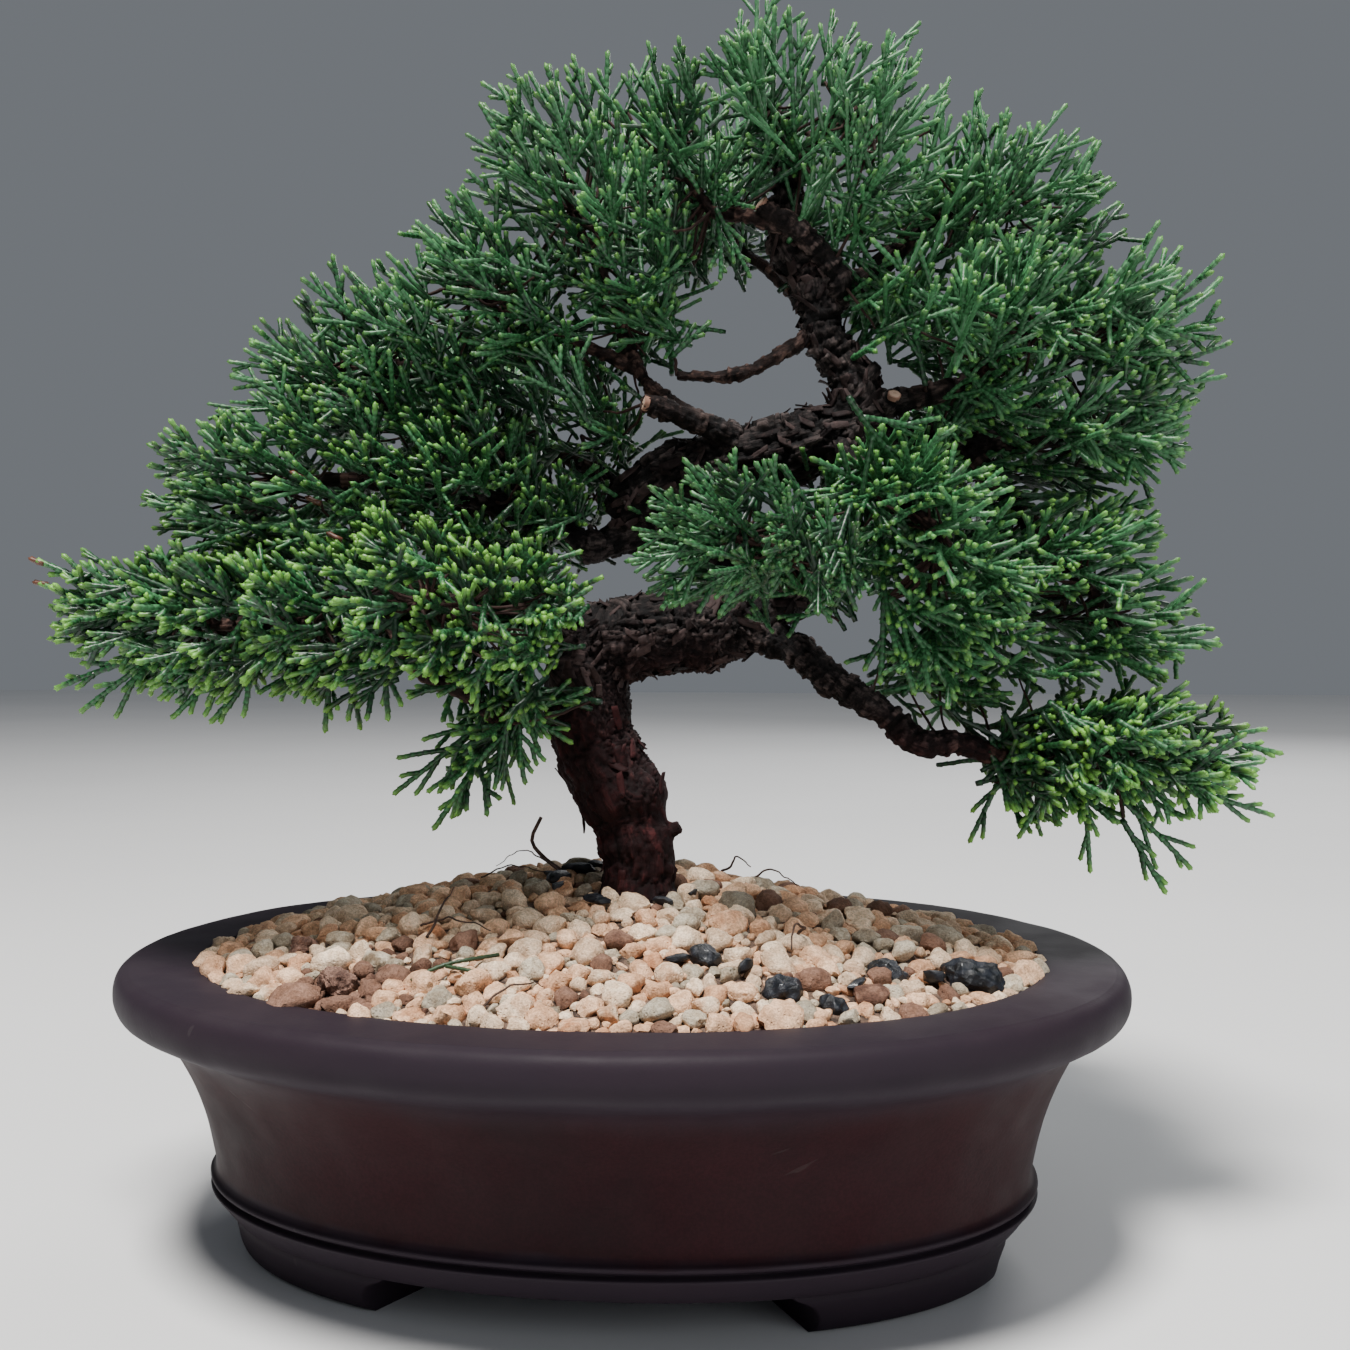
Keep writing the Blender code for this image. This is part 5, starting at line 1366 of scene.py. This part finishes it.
@dataclass
class Juniper:
    """Sprays of cord-like shoots, clothed in pairs of scale leaves, over fine twigs."""

    planting: Planting
    rng: random.Random
    leaf: float = 0.00135
    sides: int = 6
    reach_past: float = 0.0024
    shoots: int = 0
    twigs: MeshStore = field(default_factory=MeshStore)
    frames: dict[str, tuple[np.ndarray, np.ndarray]] = field(default_factory=dict)

    def shoot(self, store: MeshStore, start: Vector, heading: Vector, cross: Vector, length: float, thick: float,
              fresh: float, values: tuple[float, float, float]) -> None:
        """Adds one shoot.

        Args:
            store: The pad's mesh.
            start: Where it leaves its parent.
            heading: Where it points.
            cross: The way it curls, across its heading.
            length: Its length.
            thick: Its thickness.
            fresh: How bright its tip is.
            values: Tone, age with painted canopy shade, and death.
        """
        nodes = max(2, round(length / self.leaf))
        steps = np.arange(nodes)
        t = np.stack([steps / nodes, (steps + 0.66) / nodes], -1).reshape(-1)
        t = np.append(t, 1.0)
        way, curl = np.array(heading), np.array(cross)
        centre = np.array(start) + (way * t[:, None] + curl * (t**2)[:, None]) * length
        tangent = unit(way + 2 * curl * t[:, None])
        reference = np.array(heading.orthogonal())
        one = unit(np.cross(tangent, reference))
        two = np.cross(tangent, one)
        angle = 2 * math.pi * np.arange(self.sides) / self.sides
        out = np.cos(angle)[None, :, None] * one[:, None] + np.sin(angle)[None, :, None] * two[:, None]
        level, column = np.arange(len(t))[:, None], np.arange(self.sides)[None]
        flared = (level % 2 == 1) & ((column + level // 2) % 2 == 0)
        size = np.where(level % 2 == 1, np.where(flared, 1.16, 0.93), 0.85)
        size[-1] = 0.62
        taper = (1.0 - 0.10 * t) * thick / 2
        ahead = np.where(flared, 0.30, 0.0) * self.leaf
        rings = centre[:, None] + out * (size * taper[:, None])[..., None] + tangent[:, None] * ahead[..., None]
        lit = np.clip(1 - (1 - t) * length / (0.0024 if fresh > 0.6 else 0.0015), 0, 1) * fresh
        tone, age_and_shade, dead = values
        # Painted highlight on the flared scale tips and painted shade at the scale bases, in alternate rings.
        body = np.clip(tone + 0.35 * t - 0.15 + np.where(level[:, 0] % 2 == 1, 0.30, -0.26), 0, 1)
        # Darker toward the shoot's base: partly older growth, partly painted shade.
        rows = np.stack([lit, body, np.full(len(t), age_and_shade) * (1 - 0.6 * t), np.full(len(t), dead)], -1)
        store.tube(rings, centre[0], centre[-1] + tangent[-1] * thick * 0.34, rows)
        self.shoots += 1

    def spray(self, store: MeshStore, start: Vector, heading: Vector, plane: Vector, length: float, habit: Habit,
              age_and_shade: float, dead: float = 0.0) -> None:
        """Adds a spray: a leader with side shoots to left and right, the lower ones forked again.

        Args:
            store: The pad's mesh.
            start: Where it leaves its twig.
            heading: Where it points.
            plane: The way across which it fans.
            length: The leader's length.
            habit: How the pad grows.
            age_and_shade: How old and dark it is, the dark partly older growth and partly painted shade deep in the
                canopy.
            dead: How brown it is.
        """
        rng = self.rng
        thick = habit.thick * MM * rng.uniform(0.88, 1.12)
        tone = min(max(rng.gauss(0.5 - 0.3 * habit.blue, 0.22), 0), 1)
        fresh = habit.fresh * rng.uniform(0.55, 1.1)
        curl = UP * rng.uniform(0.0, 0.12) + Vector([rng.gauss(0, 0.05) for _ in range(3)])
        self.shoot(store, start, heading, curl, length, thick, min(fresh, 1), (tone, age_and_shade, dead))
        at = length * rng.uniform(0.10, 0.24)
        turn = rng.choice((-1, 1))
        while at < length * 0.86:
            share = at / length
            foot = start + (heading * share + curl * share * share) * length
            reach = min(max((length - at) * rng.uniform(0.5, 1.05), 3.2 * MM), 16 * MM)
            angle = math.radians(rng.uniform(24, 46)) * turn
            way = Matrix.Rotation(angle, 3, plane) @ heading
            way = (way + Vector([rng.gauss(0, 0.09) for _ in range(3)])).normalized()
            bow = (heading - way) * rng.uniform(0.04, 0.22) + Vector([rng.gauss(0, 0.03) for _ in range(3)])
            self.shoot(store, foot, way, bow, reach, thick * 0.93, min(fresh * rng.uniform(0.8, 1.15), 1),
                       (min(max(tone + rng.gauss(0, 0.1), 0), 1), age_and_shade * 0.9, dead))
            if reach > 5.5 * MM and rng.random() < habit.forks:
                for fork in range(1 if reach < 9 * MM else 2):
                    along = rng.uniform(0.35, 0.6) + 0.22 * fork
                    knee = foot + (way * along + bow * along * along) * reach
                    bend = Matrix.Rotation(math.radians(rng.uniform(24, 44)) * (turn if fork else -turn), 3, plane) @ way
                    bend = (bend + Vector([rng.gauss(0, 0.12) for _ in range(3)])).normalized()
                    self.shoot(store, knee, bend, (way - bend) * 0.1, reach * rng.uniform(0.32, 0.6), thick * 0.9,
                               min(fresh * rng.uniform(0.85, 1.2), 1), (tone, age_and_shade * 0.8, dead))
            at += (rng.uniform(2.2, 3.9) if habit.forks > 0.7 else rng.uniform(2.9, 5.2)) * MM
            turn = -turn

    def lone(self, store: MeshStore, start: Vector, tip: Vector, habit: Habit, hearts: np.ndarray) -> None:
        """Adds a lone spray: a long leader with few side shoots, on a twig of its own."""
        rng = self.rng
        ray = tip - start
        length, heading = ray.length, ray.normalized()
        thick = habit.thick * MM * rng.uniform(1.0, 1.12)
        tone = rng.uniform(0.35, 0.75)
        curl = Vector([rng.gauss(0, 0.035) for _ in range(3)])
        plane = (self.planting.heading(0, -1, 0) + Vector([rng.gauss(0, 0.3) for _ in range(3)])).normalized()
        fresh = min(habit.fresh * rng.uniform(0.8, 1.2), 1)
        self.shoot(store, start, heading - curl, curl, length, thick, fresh, (tone, 0.1, 0.0))
        at, turn = length * rng.uniform(0.15, 0.3), rng.choice((-1, 1))
        while at < length * 0.8:
            share = at / length
            foot = start + ((heading - curl) * share + curl * share * share) * length
            way = Matrix.Rotation(math.radians(rng.uniform(22, 38)) * turn, 3, plane) @ heading
            reach = min((length - at) * rng.uniform(0.45, 0.85), 12 * MM)
            self.shoot(store, foot, way, (heading - way) * 0.12, reach, thick * 0.92, fresh, (tone, 0.1, 0.0))
            at += rng.uniform(2.6, 5.4) * MM
            turn = -turn
        heart = Vector(hearts[np.argmin(np.linalg.norm(hearts - np.array(start), axis=1))])
        self.twig(heart, start + heading * 0.001, 0.0005)

    def twig(self, start: Vector, end: Vector, radius: float) -> None:
        """Adds a fine brown twig that sags a little and tapers."""
        reach = (end - start).length
        if reach < 0.002:
            return
        sag = Vector((0, 0, -0.08 * reach)) + Vector([self.rng.gauss(0, 0.06) * reach for _ in range(3)])
        rows = curve_through([(*start, radius), (*(start.lerp(end, 0.5) + sag), radius * 0.8), (*end, radius * 0.6)], 4)
        wobble = np.array([[noise.noise(Vector(r[:3]) * 700.0 + Vector((k * 5.0, 0, 0))) for k in range(3)] for r in rows])
        path = rows[:, :3] + wobble * 0.0003
        lumpy = rows[:, 3] * (1 + 0.25 * wobble[:, 0])
        rings = tube_rings(path, lumpy, 6)
        values = np.tile((0.62, 0.5, 0.8, 1.0), (len(path), 1))
        self.twigs.tube(rings, path[0], path[-1], values)

    def targets(self, name: str, spacing: float) -> list[tuple[Vector, Vector]]:
        """Spreads points evenly over a pad's CAD surface.

        Args:
            name: The pad's CAD node.
            spacing: The least distance between two points.

        Returns:
            Each point and the way out from the pad there.
        """
        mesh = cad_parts[name].data
        mesh.calc_loop_triangles()
        co = np.array([v.co for v in mesh.vertices])
        tris = np.array([t.vertices for t in mesh.loop_triangles])
        a, b, c = co[tris[:, 0]], co[tris[:, 1]], co[tris[:, 2]]
        normal = np.cross(b - a, c - a)
        area = np.linalg.norm(normal, axis=1) / 2
        dice = np.random.default_rng(self.rng.randrange(1 << 30))
        count = int(area.sum() / spacing**2 * 9)
        pick = dice.choice(len(tris), count, p=area / area.sum())
        u, v = dice.random(count), dice.random(count)
        over = u + v > 1
        u, v = np.where(over, 1 - u, u), np.where(over, 1 - v, v)
        spots = a[pick] + (b - a)[pick] * u[:, None] + (c - a)[pick] * v[:, None]
        ways = unit(normal)[pick]
        kept: list[int] = []
        for i in range(count):
            if not kept or np.min(np.sum((spots[kept] - spots[i]) ** 2, axis=1)) > spacing**2:
                kept.append(i)
        return [(Vector(spots[i]), Vector(ways[i])) for i in kept]

    def hearts(self, timber: Timber) -> np.ndarray:
        """Places along the branches from which twigs can leave."""
        return np.array([tuple(s[0]) for s in timber.samples["branches"]])

    def grow_pad(self, name: str, habit: Habit, hearts: np.ndarray, others: dict[str, BVHTree]) -> bpy.types.Object:
        """Fills one pad with sprays.

        Args:
            name: The pad's CAD node.
            habit: How it grows.
            hearts: Places from which twigs can leave.
            others: Search trees of all the pads.

        Returns:
            The pad's object.
        """
        store = MeshStore()
        rng = self.rng
        dice = np.random.default_rng(rng.randrange(1 << 30))
        low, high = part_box(name)
        middle = (low + high) / 2
        near = hearts[np.argmin(np.linalg.norm(hearts - np.array(middle), axis=1))]
        if (Vector(near) - middle).length > 0.008:
            self.twig(Vector(near), middle, 0.0007)
        own = np.vstack([hearts, np.linspace(near, np.array(middle), 8)])
        flow = self.planting.heading(*habit.flow).normalized()
        for spot, out in self.targets(name, habit.spacing * MM):
            buried = any(
                key != name and tree.find_nearest(spot, 0.0016)[0] is not None for key, tree in others.items())
            if buried and rng.random() < (0.75 if habit.blue >= 0 else 0.92):
                continue
            inner = rng.random() < (0.30 if habit.blue >= 0 else 0.16)
            gaps = np.linalg.norm(own - np.array(spot), axis=1) + np.abs(dice.normal(0, 0.004, len(own)))
            heart = Vector(own[np.argmin(np.where(gaps < 0.007, gaps + 0.02, gaps))])
            heading = flow * 0.70 + out * 0.55 + (spot - heart).normalized() * 0.22
            heading = (heading + Vector([rng.gauss(0, 0.22) for _ in range(3)])).normalized()
            length = habit.length * MM * rng.uniform(0.68, 1.12)
            past = rng.uniform(-0.6, 1.0) * self.reach_past
            if rng.random() < 0.07:
                past += rng.uniform(0.002, 0.005)
            if inner:
                past = -rng.uniform(0.004, 0.008)
            tip = spot + heading * past
            start = tip - heading * length
            level = heading.cross(UP)
            plane = level.cross(heading) if level.length > 0.1 else heading.orthogonal()
            plane = (Matrix.Rotation(rng.gauss(0, 0.7), 3, heading) @ plane.normalized()).normalized()
            # Buried and inner sprays are darker: partly older growth, partly painted shade deep in the canopy.
            age_and_shade = rng.uniform(0.6, 1.0) if buried or inner else rng.uniform(0.0, 0.35)
            self.spray(store, start, heading, plane, length, habit, age_and_shade)
            if rng.random() < 0.6 and (heart - start).length < 0.022:
                self.twig(heart, start + heading * 0.002, 0.00038)
        for pad, start, tip in LONE_SPRAYS:
            if name == "foliage_" + pad:
                self.lone(store, self.planting.place(start), self.planting.place(tip), habit, own)
        if name == "foliage_left_low":
            for row in DEAD_TIPS:
                way = self.planting.heading(-1, 0, rng.uniform(0.0, 0.4)).normalized()
                self.shoot(store, self.planting.place(row), way, UP * 0.1, 0.0030, 0.0012, 0.0, (0.3, 0.0, 1.0))
        return store.make(name.replace("foliage", "sprays"))

    def build(self, timber: Timber, leaf: bpy.types.Material, bark: bpy.types.Material) -> None:
        """Grows every pad and the twigs under them."""
        others = {}
        for name in HABITS:
            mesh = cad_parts[name].data
            others[name] = BVHTree.FromPolygons([v.co for v in mesh.vertices], [p.vertices for p in mesh.polygons])
        hearts = self.hearts(timber)
        for name, habit in HABITS.items():
            pad = self.grow_pad(name, habit, hearts, others)
            dress(pad, leaf, "foliage", name)
        twigs = self.twigs.make("twigs")
        dress(twigs, bark, "bark")
        LOG.info("juniper: %d shoots", self.shoots)


# ---------------------------------------------------------------- studio


@dataclass
class Studio:
    """Pale floor, soft lights and the camera."""

    planting: Planting
    eye_height: float = 0.12546
    eye_distance: float = 0.31273
    eye_shift: float = 0.01142
    tilt_deg: float = 1.489
    focal: float = 40.0

    def floor(self) -> None:
        """Lays a flat pale floor."""
        made = simple_object("floor", [(-3, -3, 0), (3, -3, 0), (3, 3, 0), (-3, 3, 0)], [(0, 1, 2, 3)])
        paint, sk, shader = start_material("studio_floor", {"Roughness": 0.75})
        tone = sk.ramp(sk.noise(sk.place(), 3.0), 0.2, 0.8, 0.70, 0.74)
        feed(sk, shader, sk.add("ShaderNodeCombineColor", {0: tone, 1: tone, 2: tone}).outputs[0])
        made.data.materials.append(paint)

    def lamp(self, name: str, place: Row, size: float, power: float, tint: Colour = (1, 1, 1)) -> None:
        """Hangs a soft lamp that faces the tree."""
        light = bpy.data.lights.new(name, "AREA")
        light.shape = "DISK"
        light.size = size
        light.energy = power
        light.color = tint
        made = bpy.data.objects.new(name, light)
        bpy.context.scene.collection.objects.link(made)
        made.location = place
        aim = Vector((0.0, 0.0, 0.12)) - Vector(place)
        made.rotation_euler = aim.to_track_quat("-Z", "Y").to_euler()

    def build(self) -> None:
        """Sets up floor, lights, surround and camera."""
        self.floor()
        self.lamp("key", (-0.12, -0.50, 1.40), 0.40, 46.0, (1.0, 0.98, 0.95))
        self.lamp("fill", (1.2, -0.9, 0.6), 1.0, 4.5, (0.92, 0.96, 1.0))
        self.lamp("rim", (0.5, 1.2, 0.9), 0.8, 8.0)
        world = bpy.data.worlds.new("surround")
        bpy.context.scene.world = world
        world.use_nodes = True
        world.node_tree.nodes["Background"].inputs["Color"].default_value = (0.78, 0.84, 0.92, 1)
        world.node_tree.nodes["Background"].inputs["Strength"].default_value = 0.21
        eye = bpy.data.cameras.new("camera")
        eye.lens = self.focal
        eye.sensor_width = 36.0
        eye.clip_start = 0.01
        made = bpy.data.objects.new("camera", eye)
        bpy.context.scene.collection.objects.link(made)
        spot = self.planting.heading(self.eye_shift, -self.eye_distance, self.eye_height)
        made.location = spot + self.planting.middle
        made.rotation_euler = (math.radians(90 - self.tilt_deg), 0, math.radians(self.planting.turn_deg))
        bpy.context.scene.camera = made


# ---------------------------------------------------------------- whole scene


def finish_hidden_parts() -> None:
    """Refinishes the CAD nodes that stay: soil, screens, clips, dressing bed and dry root; the bed's dark brown is
    partly the soil under the grains and partly painted shade in the gaps between them.
    """
    soil = PlainFinish("potting_soil", (0.025, 0.015, 0.010), (0.14, 0.085, 0.055), (0.85, 0.98), 260.0, 0.7).make()
    # The bed's dark brown is partly the soil under the grains and partly painted shade in the gaps between them.
    bed = PlainFinish("dressing_bed_and_shade", (0.030, 0.018, 0.013), (0.15, 0.095, 0.068), (0.85, 0.95), 420.0, 0.7).make()
    mesh = PlainFinish("screen_mesh", (0.012, 0.013, 0.013), (0.028, 0.03, 0.03), (0.42, 0.6), 200.0, 0.3).make()
    wire = PlainFinish("clip_wire", (0.36, 0.34, 0.31), (0.62, 0.60, 0.56), (0.26, 0.42), 400.0, 0.3, 1.0).make()
    root = PlainFinish("dry_root_skin", (0.028, 0.016, 0.012), (0.11, 0.062, 0.045), (0.7, 0.9), 900.0, 0.6).make()
    for node, finish in {"soil": soil, "dressing": bed, "drain_screen_left": mesh, "drain_screen_right": mesh,
                         "screen_clip_left": wire, "screen_clip_right": wire, "dry_root": root}.items():
        refinish(node, finish)


def main() -> None:
    """Builds every part in order."""
    logging.basicConfig(level=logging.INFO, format="%(name)s %(message)s")
    planting = planting_of_pot()
    Studio(planting).build()
    OvalPot(planting).build(ClayFinish().make(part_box("pot")[1].z))
    finish_hidden_parts()
    charcoal = PlainFinish("charcoal_skin", (0.0018, 0.0024, 0.0038), (0.011, 0.014, 0.022), (0.34, 0.6), 500.0, 0.4,
                           coat=0.12).make()
    lava = PlainFinish("lava_skin", (0.085, 0.042, 0.030), (0.27, 0.155, 0.115), (0.85, 0.95), 420.0, 0.7, bump=0.8).make()
    LooseLumps().build(charcoal, lava)
    dressing = TopDressing(planting, random.Random(5))
    dressing.build({
        GrainKind.PUMICE: StoneFinish("pumice", (0.84, 0.56, 0.37), (0.56, 0.32, 0.19), (0.48, 0.22, 0.11)).make(),
        GrainKind.PALE: StoneFinish("pale_pumice", (0.86, 0.68, 0.50), (0.55, 0.40, 0.28), (0.55, 0.30, 0.17)).make(),
        GrainKind.GRIT: StoneFinish("grit", (0.56, 0.49, 0.38), (0.27, 0.24, 0.185), (0.20, 0.15, 0.10)).make(),
        GrainKind.CLAY: StoneFinish("burnt_clay", (0.24, 0.135, 0.095), (0.13, 0.070, 0.048), (0.10, 0.05, 0.035)).make(),
    })
    bark = BarkFinish().make()
    leaf = JuniperFinish().make()
    litter, (heap, _) = Litter(planting, random.Random(3)), dressing.surfaces()
    litter.build_rootlets(heap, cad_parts["dry_root"].material_slots[0].material)
    litter.build_chips(heap, dressing, charcoal)
    litter.build_shed_shoot(heap, leaf)
    timber = Timber(planting, random.Random(7))
    timber.build(bark, CutWoodFinish().make())
    Juniper(planting, random.Random(11)).build(timber, leaf, bark)


if __name__ == "__main__":
    main()
